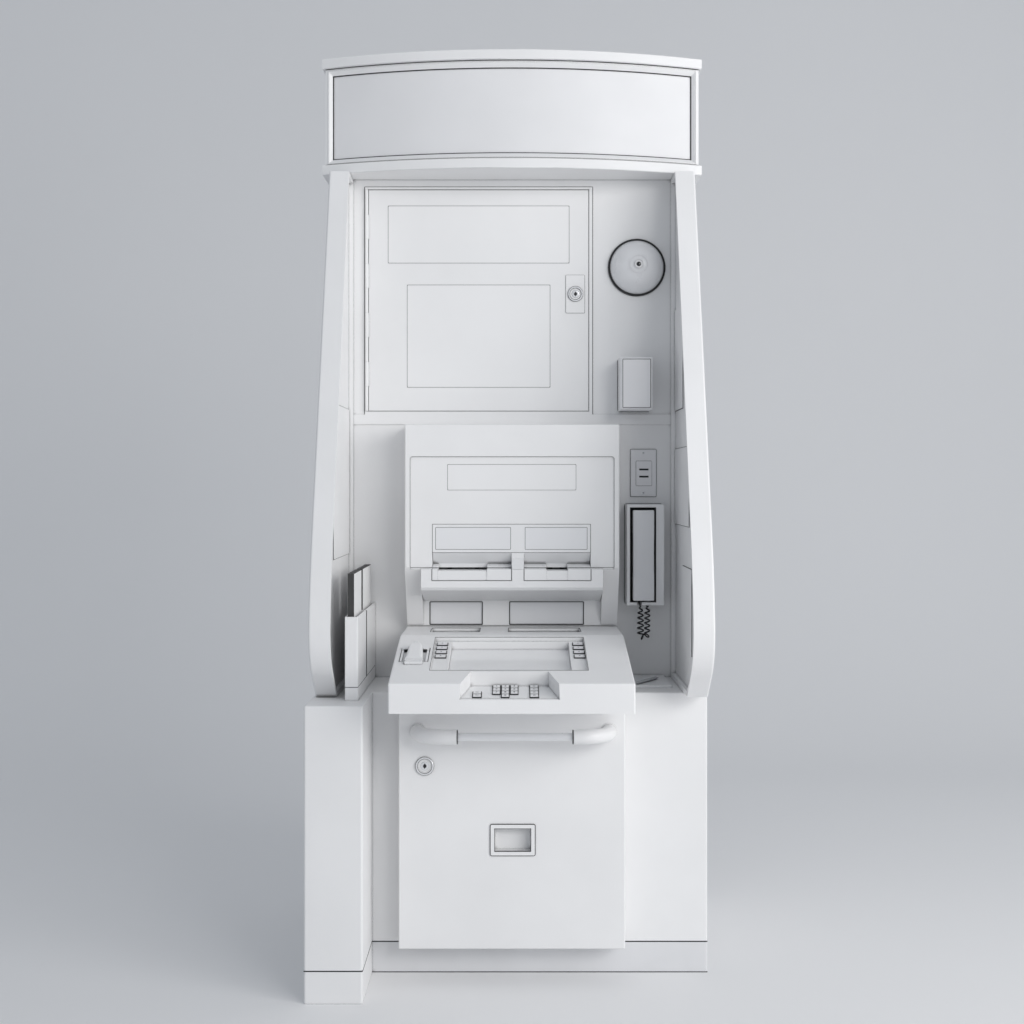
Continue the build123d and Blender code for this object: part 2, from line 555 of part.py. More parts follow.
SIDE_KEY_AHEAD = (292.0, 322.0, 352.0, 382.0)
SIDE_KEY_X = (-164.0, 156.0)
SIDE_KEY = (23.0, 17.0)
PAD_KEY = (15.0, 13.5)
PAD_ROWS = (518.5, 537.5, 556.5, 575.5)
PAD_COLUMNS = (-33.5, -14.0, 5.5)
LEFT_KEY_X, RIGHT_KEY_X = -75.5, 49.0
WIDE_KEY = (17.0, 13.5)


def console_outline(skin):
    """Side outline of the console, drawn in by 'skin' all round, open below when hollowed."""
    drop = skin / math.cos(SLOPE)
    lip = CONSOLE_LIP_Z - drop + skin * math.tan(SLOPE)
    return [(skin, CABINET_TOP), (skin, SHELF_Z - skin), (SHELF_AHEAD - 0.1 * skin, SHELF_Z - skin),
            (REACH - skin, lip), (REACH - skin, CABINET_TOP)]


def key_places():
    """Every key: name, X, distance ahead, size and the rise of the bed that it sits in."""
    places = []
    for side, x in zip(("left", "right"), SIDE_KEY_X):
        places += [(f"side_key_{side}_{row}", x, ahead, SIDE_KEY, -TUB_DEEP)
                   for row, ahead in enumerate(SIDE_KEY_AHEAD, 1)]
    digits = [(row, column) for row in range(3) for column in range(3)] + [(3, 1)]
    for number, (row, column) in enumerate(digits, 1):
        name = f"digit_key_{number % 10}"
        places.append((name, PAD_COLUMNS[column], PAD_ROWS[row], PAD_KEY, NOTCH_RISE))
    places += [(f"cancel_key_{row - 1}", LEFT_KEY_X, PAD_ROWS[row], WIDE_KEY, NOTCH_RISE)
               for row in (2, 3)]
    places += [(f"action_key_{row + 1}", RIGHT_KEY_X, PAD_ROWS[row], WIDE_KEY, NOTCH_RISE)
               for row in range(4)]
    return places


def key_well(x, ahead, size, bed):
    """Pocket that a key sinks into, 0.6 mm wider than the key all round."""
    wide, long = size[0] / 2 + 0.6, size[1] / 2 + 0.6
    return slope_block(x - wide, x + wide, down(ahead) - long, down(ahead) + long, bed - 9, bed + 0.1)


def key_cap(x, ahead, size, bed):
    """Cap that stands 4 mm proud of its bed and clears the pocket floor by its travel."""
    wide, long = size[0] / 2, size[1] / 2
    cap = slope_block(x - wide, x + wide, down(ahead) - long, down(ahead) + long,
                      bed - 9 + KEY_TRAVEL + 0.5, bed + 4)
    return fillet(cap.faces().sort_by(SLOPE_UP)[-1].edges(), 0.8)


def tub(outline, bottom):
    return slope_prism(outline, bottom, -2)


def slope_rectangle(x0, x1, ahead0, ahead1):
    near, far = down(ahead0), down(ahead1)
    return [(x0, near), (x1, near), (x1, far), (x0, far)]


def well_tub(well, floor):
    left, right = well
    return block(left - 6, right + 6, WELL_AHEAD[0] - 6, WELL_AHEAD[1] + 6, floor - 5, SHELF_Z - 2)


def console():
    """Shelf and sloping desk in one moulding, with tubs for the trays, screen, keys and sensor."""
    body = side_prism(console_outline(0), -CONSOLE_HALF, CONSOLE_HALF)
    rim = edges_near(body, x=-CONSOLE_HALF, z=(SHELF_Z + CONSOLE_LIP_Z) / 2)
    rim += edges_near(body, x=CONSOLE_HALF, z=(SHELF_Z + CONSOLE_LIP_Z) / 2)
    rim += edges_near(body, x=-CONSOLE_HALF, z=SHELF_Z)
    rim += edges_near(body, x=CONSOLE_HALF, z=SHELF_Z)
    rim += edges_near(body, ahead=REACH, z=CONSOLE_LIP_Z)
    rim += edges_near(body, ahead=REACH, x=-CONSOLE_HALF) + edges_near(body, ahead=REACH, x=CONSOLE_HALF)
    body = fillet(rim, 4)
    body -= side_prism(console_outline(CONSOLE_SKIN), -CONSOLE_HALF + CONSOLE_SKIN,
                       CONSOLE_HALF - CONSOLE_SKIN)
    body += block(-CONSOLE_HALF + 4, CONSOLE_HALF - 4, CABINET_FRONT, REACH - 4, CABINET_TOP,
                  CABINET_TOP + 5)
    body += well_tub(COIN_WELL, COIN_FLOOR) + well_tub(NOTE_WELL, NOTE_FLOOR)
    body += tub(slope_rectangle(SCREEN_TUB[0] - 6, SCREEN_TUB[1] + 6, TUB_AHEAD[0] - 2,
                                TUB_AHEAD[1] + 2), -26)
    screen = slope_rectangle(*SCREEN, TUB_AHEAD[0] + 5, TUB_AHEAD[1] - 4)
    under = slope_rectangle(SCREEN[0] - 6, SCREEN[1] + 6, TUB_AHEAD[0] - 1, TUB_AHEAD[1] + 2)
    body += tub(under, -SCREEN_DEEP - SCREEN_THICK - 5)
    body += tub(slope_rectangle(-122, 114, NOTCH_BACK - 6, REACH - 4), NOTCH_RISE - 14)
    body += tub(slope_rectangle(SENSOR_BED[0] - 5, SENSOR_BED[1] + 5, SENSOR_BED[2] - 5,
                                SENSOR_BED[3] + 5), -SENSOR_DEEP - 5)
    body -= block(COIN_WELL[0], COIN_WELL[1], *WELL_AHEAD, COIN_FLOOR, SHELF_Z + 1)
    body -= block(NOTE_WELL[0], NOTE_WELL[1], *WELL_AHEAD, NOTE_FLOOR, SHELF_Z + 1)
    for left, right in (COIN_WELL, NOTE_WELL):
        body -= block(left - 3, right + 3, WELL_AHEAD[0] - 3, WELL_AHEAD[1] + SHUTTER_TRAVEL + 4,
                      SHUTTER[0] - 1, SHELF_Z - CONSOLE_SKIN)
    body -= slope_prism(slope_rectangle(*SCREEN_TUB, *TUB_AHEAD), -TUB_DEEP, 20)
    body -= slope_prism(screen, -SCREEN_DEEP - SCREEN_THICK, 0)
    body -= slope_prism([(x, down(ahead)) for x, ahead in NOTCH], NOTCH_RISE, 20)
    body -= slope_prism(slope_rectangle(*SENSOR_BED), -SENSOR_DEEP, 20)
    for place in key_places():
        body -= key_well(*place[1:])
    return body


def shutter(well):
    """Flat lid that slides forward under the shelf to open a tray."""
    left, right = well
    lid = block(left - 2.5, right + 2.5, WELL_AHEAD[0] - 2, WELL_AHEAD[1] + 2, *SHUTTER)
    grip = block((left + right) / 2 - 20, (left + right) / 2 + 20, WELL_AHEAD[0] + 8, WELL_AHEAD[0] + 12,
                 SHUTTER[1], SHUTTER[1] + 1)
    return lid + grip


def display():
    screen = slope_rectangle(*SCREEN, TUB_AHEAD[0] + 5, TUB_AHEAD[1] - 4)
    return slope_prism(screen, -SCREEN_DEEP - SCREEN_THICK, -SCREEN_DEEP)


def vein_reader():
    """Finger sensor: a plate in its bed and a hood that widens and sinks towards the customer."""
    left, right, near, far = SENSOR_BED
    plate = slope_prism(slope_rectangle(left + 1, right - 1, near + 1, far - 1), -SENSOR_DEEP, -3)
    mid = (left + right) / 2 + 1
    sections = ((362, 9.0, 22.0), (396, 20.0, 14.0), (440, 19.5, 9.0))
    faces = []
    for ahead, half, high in sections:
        station = Plane(origin=SLOPE_PLANE.from_local_coords((mid, -down(ahead), -3)),
                        x_dir=(1, 0, 0), z_dir=SLOPE_PLANE.y_dir)
        rise = high + 3
        outline = [(-half, 0), (half, 0), (half, 0.7 * rise), (0.7 * half, rise), (-0.7 * half, rise),
                   (-half, 0.7 * rise)]
        if station.y_dir.Z < 0:
            outline = [(x, -y) for x, y in outline]
        faces.append(station * make_face(Polyline(*outline, close=True)))
    return plate + loft(faces, ruled=True)


# ---------------------------------------------------------------- wall fittings
DOME_X, DOME_Z, DOME_R, DOME_AHEAD = 320.0, 1718.0, 72.0, 62.0
DOME_FLANGE, DOME_SKIN = 6.0, 3.0


def camera_dome():
    """Hollow dome on a flange, with a small ringed hole in the middle for the lens."""
    cap_r = DOME_R - 4
    cap_high = DOME_AHEAD - DOME_FLANGE
    ball_r = (cap_r ** 2 + cap_high ** 2) / (2 * cap_high)
    middle = Pos(DOME_X, front_y(DOME_AHEAD - ball_r), DOME_Z)
    dome = middle * Sphere(ball_r) - middle * Sphere(ball_r - DOME_SKIN)
    dome &= rod_y(DOME_X, DOME_Z, DOME_FLANGE - 2, DOME_AHEAD + 1, DOME_R)
    flange = rod_y(DOME_X, DOME_Z, 0, DOME_FLANGE, DOME_R)
    flange = fillet(edges_near(flange, ahead=DOME_FLANGE), 2)
    flange -= rod_y(DOME_X, DOME_Z, 0, DOME_FLANGE, cap_r - DOME_SKIN - 2)
    ring = rod_y(DOME_X, DOME_Z, DOME_AHEAD - 3, DOME_AHEAD + 1.5, 10)
    return dome + flange + ring - rod_y(DOME_X, DOME_Z, DOME_AHEAD - 6, DOME_AHEAD + 2, 5)


def sensor_box():
    case = block(272, 353, 0, 90, 1348.5, 1481)
    case = chamfer(edges_near(case, ahead=90), 5)
    return case - block(282, 343, 0, 78, 1360, 1470)


def outlet_plate():
    """Wall plate with a two-socket module."""
    plate = block(304, 370, 0, 6, 1130, 1251)
    plate = fillet(edges_near(plate, ahead=6) + edges_near(plate, ahead=3), 2.5)
    module = block(318, 358, 6, 8, 1158, 1221)
    plate += fillet(module.edges().filter_by(Axis.Y), 2)
    for z in (1199.5, 1181.0):
        plate -= block(326, 350, 2, 9, z - 2.4, z + 2.4)
    return plate


def phone_base():
    """Wall cradle: a box with a recess for the handset, a rest lug and a notch for the cord."""
    left, right, low, high = PHONE
    base = block(left, right, 0, PHONE_AHEAD, low, high)
    base = fillet(edges_near(base, ahead=PHONE_AHEAD) + edges_near(base, ahead=PHONE_AHEAD / 2), 3)
    base -= block(297.8, 364.0, 28, PHONE_AHEAD + 1, low + 8, high - 8)
    base += block(336, 352, 28, 46, low + 8, HANDSET[2])
    return base - block(316, 328, 48, PHONE_AHEAD + 1, low - 1, low + 9)


def handset():
    """Grip bar with an earpiece above and a mouthpiece below, both facing the wall."""
    left, right, low, high = HANDSET
    grip = block(left, right, 50, 76, low, high)
    grip = fillet(grip.edges().filter_by(Axis.Y), 3)
    grip = fillet(edges_near(grip, ahead=76), 1.5)
    for z0, z1 in ((low, low + 62), (high - 62, high)):
        cup = block(left, right, 28, 52, z0, z1)
        grip += fillet(cup.edges().filter_by(Axis.Y), 3)
    return grip


CORD_ROUTE = ((325.0, 54.0, 852.0), (325.0, 54.0, 774.8), (343.0, 50.0, 774.8), (343.0, 50.0, 852.0))
CORD_EXIT = (322.0, 56.0)


def handset_cord():
    """Coiled lead as a smooth hose: down from the handset, round and up to the cradle's underside."""
    points = [Vector(x, front_y(ahead), z) for x, ahead, z in CORD_ROUTE]
    bend = 0.45 * (points[2] - points[1]).length
    path = FilletPolyline(*points, radius=bend)
    hose = sweep(Plane(origin=points[0], z_dir=(0, 0, -1)) * Circle(CORD_TUBE_R), path=path)
    share = hose.volume / (math.pi * CORD_TUBE_R ** 2 * path.length)
    print("cord bend radii", round(bend, 1), "twice; volume over section times length", round(share, 4))
    coil_top = CORD_ROUTE[0][2]
    hose += rod_z(*CORD_EXIT, coil_top - 1, HANDSET[2], CORD_LEAD_R)
    return hose + rod_z(*CORD_ROUTE[-1][:2], coil_top - 1, PHONE[2], CORD_LEAD_R)


# ---------------------------------------------------------------- loose goods on the cabinet top
RACK = (-382.0, -352.0, 403.0, 697.0, 858.0)      # left, right, front, floor, top
RACK_DIVIDER = 219.0
STACKS = ((14.0, 208.0), (232.0, 395.0))
STACK_X = (-377.0, -360.5)
STACK_TOP = 957.0


def envelope_holder():
    """Two narrow pockets in a row, open at the top, with a seam round each."""
    left, right, front, floor, top = RACK
    rack = block(left, right, 0, front, CABINET_TOP, top)
    rack = fillet(edges_near(rack, x=left, ahead=front) + edges_near(rack, x=right, ahead=front), 2)
    for ahead0, ahead1 in ((3, RACK_DIVIDER - 1.5), (RACK_DIVIDER + 1.5, front - 3)):
        rack -= block(left + 3, right - 3, ahead0, ahead1, floor, top)
    seam = block(left, right, 0, front, floor - 0.8, floor + 0.8)
    seam += block(left, right, RACK_DIVIDER - 0.8, RACK_DIVIDER + 0.8, floor, top)
    return rack - (seam - block(left + 1, right - 1, -1, front - 1, CABINET_TOP, top + 1))


def envelope_stack(ahead0, ahead1):
    return block(STACK_X[0], STACK_X[1], ahead0, ahead1, RACK[3], STACK_TOP)


TRAY = (269.0, 388.8, 4.0, 199.0)
TRAY_TOP = 672.5
PEN_TAIL, PEN_TIP, PEN_R = (304.0, 184.0), (368.0, 82.0), 4.0


def writing_tray():
    tray = block(*TRAY, CABINET_TOP, TRAY_TOP)
    tray = fillet(tray.edges().filter_by(Axis.Z), 4)
    return fillet(tray.faces().sort_by(Axis.Z)[-1].edges(), 1)


def pen():
    """Ball pen lying on the tray: barrel, tapered nose and clip."""
    tail = Vector(PEN_TAIL[0], front_y(PEN_TAIL[1]), TRAY_TOP + PEN_R)
    tip = Vector(PEN_TIP[0], front_y(PEN_TIP[1]), TRAY_TOP + PEN_R)
    along = tip - tail
    lay = Plane(origin=tail, z_dir=along)
    barrel_long, nose_long = along.length - 14, 14
    barrel = lay.offset(barrel_long / 2) * Cylinder(PEN_R, barrel_long)
    nose = lay.offset(barrel_long + nose_long / 2) * Cone(PEN_R, 0.6, nose_long)
    return barrel + nose


# ---------------------------------------------------------------- write every sub-part
keep("cabinet_body", cabinet_body(), WHITE)
keep("plinth", plinth(), GREY)
keep("side_pedestal", side_pedestal(), WHITE)
keep("cash_cassettes", cash_cassettes(), DARK)
keep("safe_door", safe_door(), WHITE)
keep("safe_lock_plug", lock_plug(SAFE_LOCK_X, SAFE_LOCK_Z, 303, DOOR_FRONT + 1.5), STEEL)
keep("handrail_bar", handrail_bar(), STEEL)
keep("handrail_elbows", handrail_elbows(), GREY)
keep("hinge_pins", hinge_pins(), STEEL)
keep("back_wall", back_wall(), WHITE)
keep("upper_door", upper_door(), WHITE)
keep("upper_lock_plug", lock_plug(UPPER_LOCK_X, UPPER_LOCK_Z, -19.0, 5.0), STEEL)
keep("rear_casing", rear_casing(), WHITE)
keep("rear_cover", rear_cover(), GREY)
keep("left_wing", wing(-1), WHITE)
keep("right_wing", wing(1), WHITE)
keep("canopy_shell", canopy_shell(), WHITE)
keep("canopy_sign", canopy_sign(), WHITE)
keep("fascia", fascia(), WHITE)
keep("reader_module", reader_module(), GREY)
keep("console", console(), WHITE)
keep("coin_shutter", shutter(COIN_WELL), GREY)
keep("note_shutter", shutter(NOTE_WELL), GREY)
keep("display", display(), GLASS)
keep("vein_reader", vein_reader(), DARK)
keep("camera_dome", camera_dome(), DARK)
keep("sensor_box", sensor_box(), GREY)
keep("outlet_plate", outlet_plate(), WHITE)
keep("phone_base", phone_base(), GREY)
keep("handset", handset(), GREY)
keep("handset_cord", handset_cord(), DARK)
keep("envelope_holder", envelope_holder(), GREY)
keep("envelope_stack_rear", envelope_stack(*STACKS[0]), WHITE)
keep("envelope_stack_front", envelope_stack(*STACKS[1]), WHITE)
keep("writing_tray", writing_tray(), GREY)
keep("pen", pen(), DARK)
for name, x, ahead, size, bed in key_places():
    keep(name, key_cap(x, ahead, size, bed), GREY)

whole = Compound(children=list(nodes.values())).bounding_box()
print("nodes", len(nodes), "box", whole.min, whole.max)
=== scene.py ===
import json
import random
from collections import namedtuple
from math import atan2, cos, pi, radians, sin, sqrt, tau

import bmesh
import bpy
from mathutils import Matrix, Vector


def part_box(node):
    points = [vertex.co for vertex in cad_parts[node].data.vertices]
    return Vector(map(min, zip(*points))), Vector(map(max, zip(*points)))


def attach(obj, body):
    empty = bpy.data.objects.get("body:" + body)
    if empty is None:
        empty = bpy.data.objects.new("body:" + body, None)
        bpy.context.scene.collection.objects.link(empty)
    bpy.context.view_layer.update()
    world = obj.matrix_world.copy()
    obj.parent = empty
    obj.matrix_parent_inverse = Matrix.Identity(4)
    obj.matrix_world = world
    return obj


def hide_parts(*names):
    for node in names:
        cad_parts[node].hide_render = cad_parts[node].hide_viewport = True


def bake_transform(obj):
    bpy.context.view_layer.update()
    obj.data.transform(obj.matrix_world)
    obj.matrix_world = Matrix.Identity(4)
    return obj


# Looks of a walk-up cash machine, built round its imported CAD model. Places are in millimetres, as
# (x, ahead, z): X to the customer's right, the distance ahead of the wall panel's front face, and the
# height above the floor. at() turns them into metres in the row frame.

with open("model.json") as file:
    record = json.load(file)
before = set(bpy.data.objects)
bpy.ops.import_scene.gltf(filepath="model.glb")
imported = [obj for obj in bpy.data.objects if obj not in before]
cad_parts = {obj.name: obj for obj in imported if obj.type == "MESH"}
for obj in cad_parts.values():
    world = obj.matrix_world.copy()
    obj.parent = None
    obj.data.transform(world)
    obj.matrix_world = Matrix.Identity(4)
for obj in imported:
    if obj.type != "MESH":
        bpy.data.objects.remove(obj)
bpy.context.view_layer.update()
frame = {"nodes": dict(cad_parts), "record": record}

MM = 0.001
BACK_WALL_THICK = 15
WALL_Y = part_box("back_wall")[1].y - BACK_WALL_THICK * MM
LOOKS = {}
scene = bpy.context.scene

Extent = namedtuple("Extent", "left right back front bottom top")


def at(x, ahead, z):
    """A place given in millimetres, as metres in the row frame."""
    return Vector((x * MM, WALL_Y - ahead * MM, z * MM))


def extent(node):
    """A CAD node's box at rest, in millimetres; back and front are distances ahead of the wall."""
    low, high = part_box(node)
    return Extent(low.x / MM, high.x / MM, (WALL_Y - high.y) / MM, (WALL_Y - low.y) / MM,
                  low.z / MM, high.z / MM)


def link(made):
    """Puts an object into the scene."""
    scene.collection.objects.link(made)


# ---- materials
def feed(tree, socket, value):
    """Sets an input to a value, or links another node's socket to it."""
    if isinstance(value, bpy.types.NodeSocket):
        tree.links.new(value, socket)
    else:
        socket.default_value = value


def node(tree, kind, **inputs):
    """One shader node with its inputs fed by name; an underscore and a number feeds an input by index."""
    made = tree.nodes.new(kind)
    for name, value in inputs.items():
        key = int(name[1:]) if name[0] == "_" else name.replace("_", " ")
        feed(tree, made.inputs[key], value)
    return made


def spread(tree, value, low, high):
    """Maps the middle part of a 0 to 1 socket to the range low to high."""
    return node(tree, "ShaderNodeMapRange", Value=value, From_Min=0.3, From_Max=0.7, To_Min=low,
                To_Max=high).outputs["Result"]


def combine(tree, operation, first, second):
    """The result of one piece of arithmetic on two sockets or numbers."""
    made = node(tree, "ShaderNodeMath", _0=first, _1=second)
    made.operation = operation
    return made.outputs[0]


def mix(tree, first, second, factor=1.0, blend="MULTIPLY"):
    """Two colours mixed by factor; as it stands, the first darkened by the second."""
    made = tree.nodes.new("ShaderNodeMix")
    made.data_type, made.blend_type = "RGBA", blend
    for name, value in (("Factor", factor), ("A", first), ("B", second)):
        feed(tree, made.inputs[name], value)
    return made.outputs["Result"]


def noise(tree, vector, scale, detail, roughness=0.5):
    """Cloudy noise from 0 to 1; scale is in features per metre."""
    return node(tree, "ShaderNodeTexNoise", Vector=vector, Scale=scale, Detail=detail,
                Roughness=roughness).outputs["Fac"]


def stretched(tree, coords, scale):
    """Texture coordinates scaled along each axis."""
    return node(tree, "ShaderNodeMapping", Vector=coords, Scale=scale).outputs["Vector"]


def look(name, colour, rough, *, metal=0.0, grain=900, deep=60, stretch=(1, 1, 1), mottle=0.03,
         patch=5.0, rough_range=0.07, corner_shade=0.55, corner_shade_reach=0.010, coat=0.0, specks=0.0, stripes=None,
         scuffs=0.0):
    """A finish: base colour with slow mottling, fine grain, uneven gloss and painted shade darkening its
    corners.

    grain is in features per metre and deep is its depth in micrometres; stretch draws it out along an
    axis, as brushing does; specks adds the dark flecks of a textured coat; stripes (pitch, dark colour)
    paints every face not turned along X in the dark colour, crossed by faint lighter lines at that pitch,
    as painted shade between stacked sheets; scuffs rubs the gloss in patches.
    """
    material = bpy.data.materials.new(name)
    material.use_nodes = True
    tree = material.node_tree
    tree.nodes.clear()
    shader = node(tree, "ShaderNodeBsdfPrincipled", Metallic=metal, Coat_Weight=coat, Coat_Roughness=0.12)
    node(tree, "ShaderNodeOutputMaterial", Surface=shader.outputs["BSDF"])
    coords = node(tree, "ShaderNodeTexCoord").outputs["Object"]

    tint = mix(tree, (*colour, 1), spread(tree, noise(tree, coords, patch, 3), 1 - mottle, 1 + 0.4 * mottle))
    # Painted shade: faces not turned along X take the dark colour, standing in for the shade between stacked
    # sheets.
    if stripes:
        pitch, dark = stripes
        wave = node(tree, "ShaderNodeTexWave", Vector=coords, Distortion=0.4, Scale=pi / 10 / (pitch * MM))
        side = node(tree, "ShaderNodeNewGeometry").outputs["Normal"]
        across = node(tree, "ShaderNodeSeparateXYZ", Vector=side).outputs["X"]
        edge_on = combine(tree, "LESS_THAN", combine(tree, "ABSOLUTE", across, 0), 0.5)
        lines = spread(tree, wave.outputs["Fac"], 1.0, 0.94)
        tint = mix(tree, tint, (*dark, 1), combine(tree, "MULTIPLY", edge_on, lines), "MIX")
    if specks:
        tint = mix(tree, tint, spread(tree, noise(tree, coords, 650, 1), 1.0, 1 - specks))
    # Painted shade: an ambient occlusion mask darkens the colour in corners, creases and recesses, where
    # shade falls.
    if corner_shade:
        corner = node(tree, "ShaderNodeAmbientOcclusion", Distance=corner_shade_reach)
        corner.samples = 4
        tint = mix(tree, tint, spread(tree, corner.outputs["AO"], 1 - corner_shade, 1.0))
    feed(tree, shader.inputs["Base Color"], tint)

    cloud = noise(tree, coords, 11, 5, 0.65)
    gloss = spread(tree, cloud, max(0.03, rough - rough_range), min(1, rough + rough_range))
    if scuffs:
        rubbed = noise(tree, stretched(tree, coords, (40, 40, 4)), 3, 6, 0.8)
        gloss = combine(tree, "ADD", gloss, spread(tree, rubbed, 0.0, scuffs))
    feed(tree, shader.inputs["Roughness"], gloss)

    fine = noise(tree, stretched(tree, coords, stretch), grain, 3, 0.6)
    bump = node(tree, "ShaderNodeBump", Height=fine, Distance=deep / 1e6, Strength=1.0)
    feed(tree, shader.inputs["Normal"], bump.outputs["Normal"])
    LOOKS[name] = material


WHITE = (0.85, 0.85, 0.853)
PALE = (0.84, 0.843, 0.85)
BLACK = (0.012, 0.012, 0.014)


def make_looks():
    """Every finish, named after the record's material slot where it has one."""
    look("cabinet_paint", WHITE, 0.50, specks=0.02, scuffs=0.1)
    look("plinth_paint", (0.74, 0.745, 0.76), 0.5, mottle=0.06, specks=0.03, scuffs=0.2)
    look("door_paint", WHITE, 0.48, specks=0.02, scuffs=0.08)
    look("wall_paint", WHITE, 0.52, specks=0.015)
    look("wing_paint", WHITE, 0.50, grain=500, deep=30)
    look("canopy_paint", WHITE, 0.50, grain=500, deep=30)
    look("sign_acrylic", (0.80, 0.80, 0.81), 0.46, grain=220, deep=10)
    look("moulding", WHITE, 0.45, grain=1500, deep=80)
    look("reader_plastic", PALE, 0.42, grain=1500, deep=70)
    look("shutter_plastic", PALE, 0.25, grain=700, deep=20, scuffs=0.15)
    look("screen_glass", PALE, 0.22, grain=2500, deep=20, mottle=0.02, corner_shade=0.35, coat=0.6)
    look("sensor_plastic", PALE, 0.45, grain=1800, deep=100)
    look("dome_plastic", (0.80, 0.805, 0.82), 0.30, grain=300, deep=10, corner_shade=0.3)
    look("fitting_plastic", (0.80, 0.80, 0.815), 0.42, grain=1500, deep=50)
    look("phone_plastic", (0.80, 0.80, 0.81), 0.42, grain=1600, deep=100)
    look("handset_plastic", (0.74, 0.745, 0.76), 0.42, grain=1700, deep=80, scuffs=0.1)
    look("cord_jacket", BLACK, 0.38, grain=2500, deep=40, mottle=0.2, corner_shade=0.2)
    look("rack_plastic", WHITE, 0.45, grain=1500, deep=40)
    # The sheets' edge-on faces are painted near black: painted shade between the stacked envelopes.
    look("envelope_paper", (0.83, 0.83, 0.83), 0.75, grain=1400, deep=50, mottle=0.04,
         stripes=(1.5, (0.003, 0.003, 0.003)), corner_shade=0.3)
    # Near-black finish of the plates over the stacks' front and top: painted shade between the sheets.
    look("envelope_edge_shade", (0.012, 0.012, 0.014), 0.8, grain=1400, deep=50, mottle=0.1,
         stripes=(1.5, (0.05, 0.05, 0.05)))
    look("tray_plastic", PALE, 0.38, grain=1500, deep=60)
    look("pen_plastic", (0.45, 0.46, 0.48), 0.22, grain=800, deep=10, coat=0.5)
    look("key_plastic", (0.80, 0.80, 0.81), 0.40, grain=2600, deep=70, corner_shade=0.35,
         corner_shade_reach=0.003)
    look("bare_steel", (0.56, 0.57, 0.59), 0.28, metal=1.0, grain=900, deep=30,
         stretch=(1, 0.05, 1), corner_shade=0.4)
    look("rail_steel", (0.84, 0.845, 0.86), 0.32, metal=0.45, grain=1200, deep=30,
         stretch=(0.02, 1, 1), corner_shade=0.3)
    look("rail_plastic", WHITE, 0.36, grain=1600, deep=60)
    look("cassette_plastic", (0.045, 0.048, 0.052), 0.42, grain=1400, deep=100, mottle=0.1)
    look("black_rubber", (0.018, 0.018, 0.02), 0.62, grain=1800, deep=100, mottle=0.15, corner_shade=0.2)
    look("legend_ink", (0.05, 0.05, 0.06), 0.5, grain=2000, deep=20, mottle=0.1, corner_shade=0)
    look("label_film", WHITE, 0.46, grain=350, deep=30, mottle=0.02)
    look("poster_paper", WHITE, 0.5, grain=500, deep=40, mottle=0.02)
    look("window_acrylic", (0.82, 0.825, 0.84), 0.18, grain=250, deep=10, mottle=0.02, coat=0.3)
    look("zinc_screw", (0.60, 0.61, 0.63), 0.32, metal=1.0, grain=1500, deep=40)
    look("galvanised", (0.52, 0.53, 0.55), 0.42, metal=0.9, grain=160, deep=50, mottle=0.15,
         patch=45)
    look("dark_lens", (0.006, 0.006, 0.008), 0.06, grain=200, deep=5, coat=1.0, corner_shade=0)
    look("board_green", (0.03, 0.13, 0.07), 0.4, grain=1200, deep=40, mottle=0.15)
    look("studio_floor", (0.86, 0.86, 0.865), 0.75, grain=90, deep=200, mottle=0.01, patch=0.6,
         corner_shade=0)


# ---- mesh helpers
def as_mesh(name, shape):
    """Turns a bmesh into a mesh."""
    mesh = bpy.data.meshes.new(name)
    shape.to_mesh(mesh)
    shape.free()
    return mesh


def stand(name, mesh, finish):
    """Puts a smooth mesh into the scene with one finish."""
    mesh.shade_smooth()
    mesh.materials.append(LOOKS[finish])
    made = bpy.data.objects.new(name, mesh)
    link(made)
    return made


def add_piece(name, shape, finish, slot=None, body="machine", sharp=32):
    """Turns a bmesh into a named piece that rides on a body."""
    bmesh.ops.recalc_face_normals(shape, faces=shape.faces)
    piece = stand(name, as_mesh(name, shape), finish)
    piece.data.set_sharp_from_angle(angle=radians(sharp))
    even = piece.modifiers.new("even_shading", "WEIGHTED_NORMAL")
    even.keep_sharp = True
    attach(piece, body)
    slot or finish
    return piece


def add_rubber(name, shape, slot, body="machine"):
    """A black piece: a seal, a joint line or a dark lining."""
    add_piece(name, shape, "black_rubber", slot, body)


def join(*parts):
    """One bmesh from several."""
    whole = bmesh.new()
    for part in parts:
        scratch = as_mesh("scratch", part)
        whole.from_mesh(scratch)
        bpy.data.meshes.remove(scratch)
    return whole


def bevel_edges(shape, radius, steps):
    """Rounds a shape's sharp edges."""
    if radius > 0:
        sharp = [e for e in shape.edges if len(e.link_faces) == 2 and e.calc_face_angle(0) > 0.6]
        bmesh.ops.bevel(shape, geom=sharp, offset=radius * MM, segments=steps, profile=0.5,
                        affect="EDGES", clamp_overlap=True)
    return shape


def prism(outline, depth, radius=0.0, steps=2):
    """A closed outline of Vectors drawn out by the vector depth, with its edges rounded."""
    shape = bmesh.new()
    near = [shape.verts.new(p) for p in outline]
    far = [shape.verts.new(p + depth) for p in outline]
    shape.faces.new(near)
    shape.faces.new(list(reversed(far)))
    for i, (a, b) in enumerate(zip(near, far)):
        j = (i + 1) % len(near)
        shape.faces.new([a, b, far[j], near[j]])
    bmesh.ops.recalc_face_normals(shape, faces=shape.faces)
    return bevel_edges(shape, radius, steps)


def slab(left, right, back, front, bottom, top, radius=1.0, steps=2):
    """A box between two X, two distances ahead and two heights, with rounded edges."""
    outline = [at(left, back, bottom), at(right, back, bottom), at(right, back, top), at(left, back, top)]
    return prism(outline, at(0, front, 0) - at(0, back, 0), radius, steps)


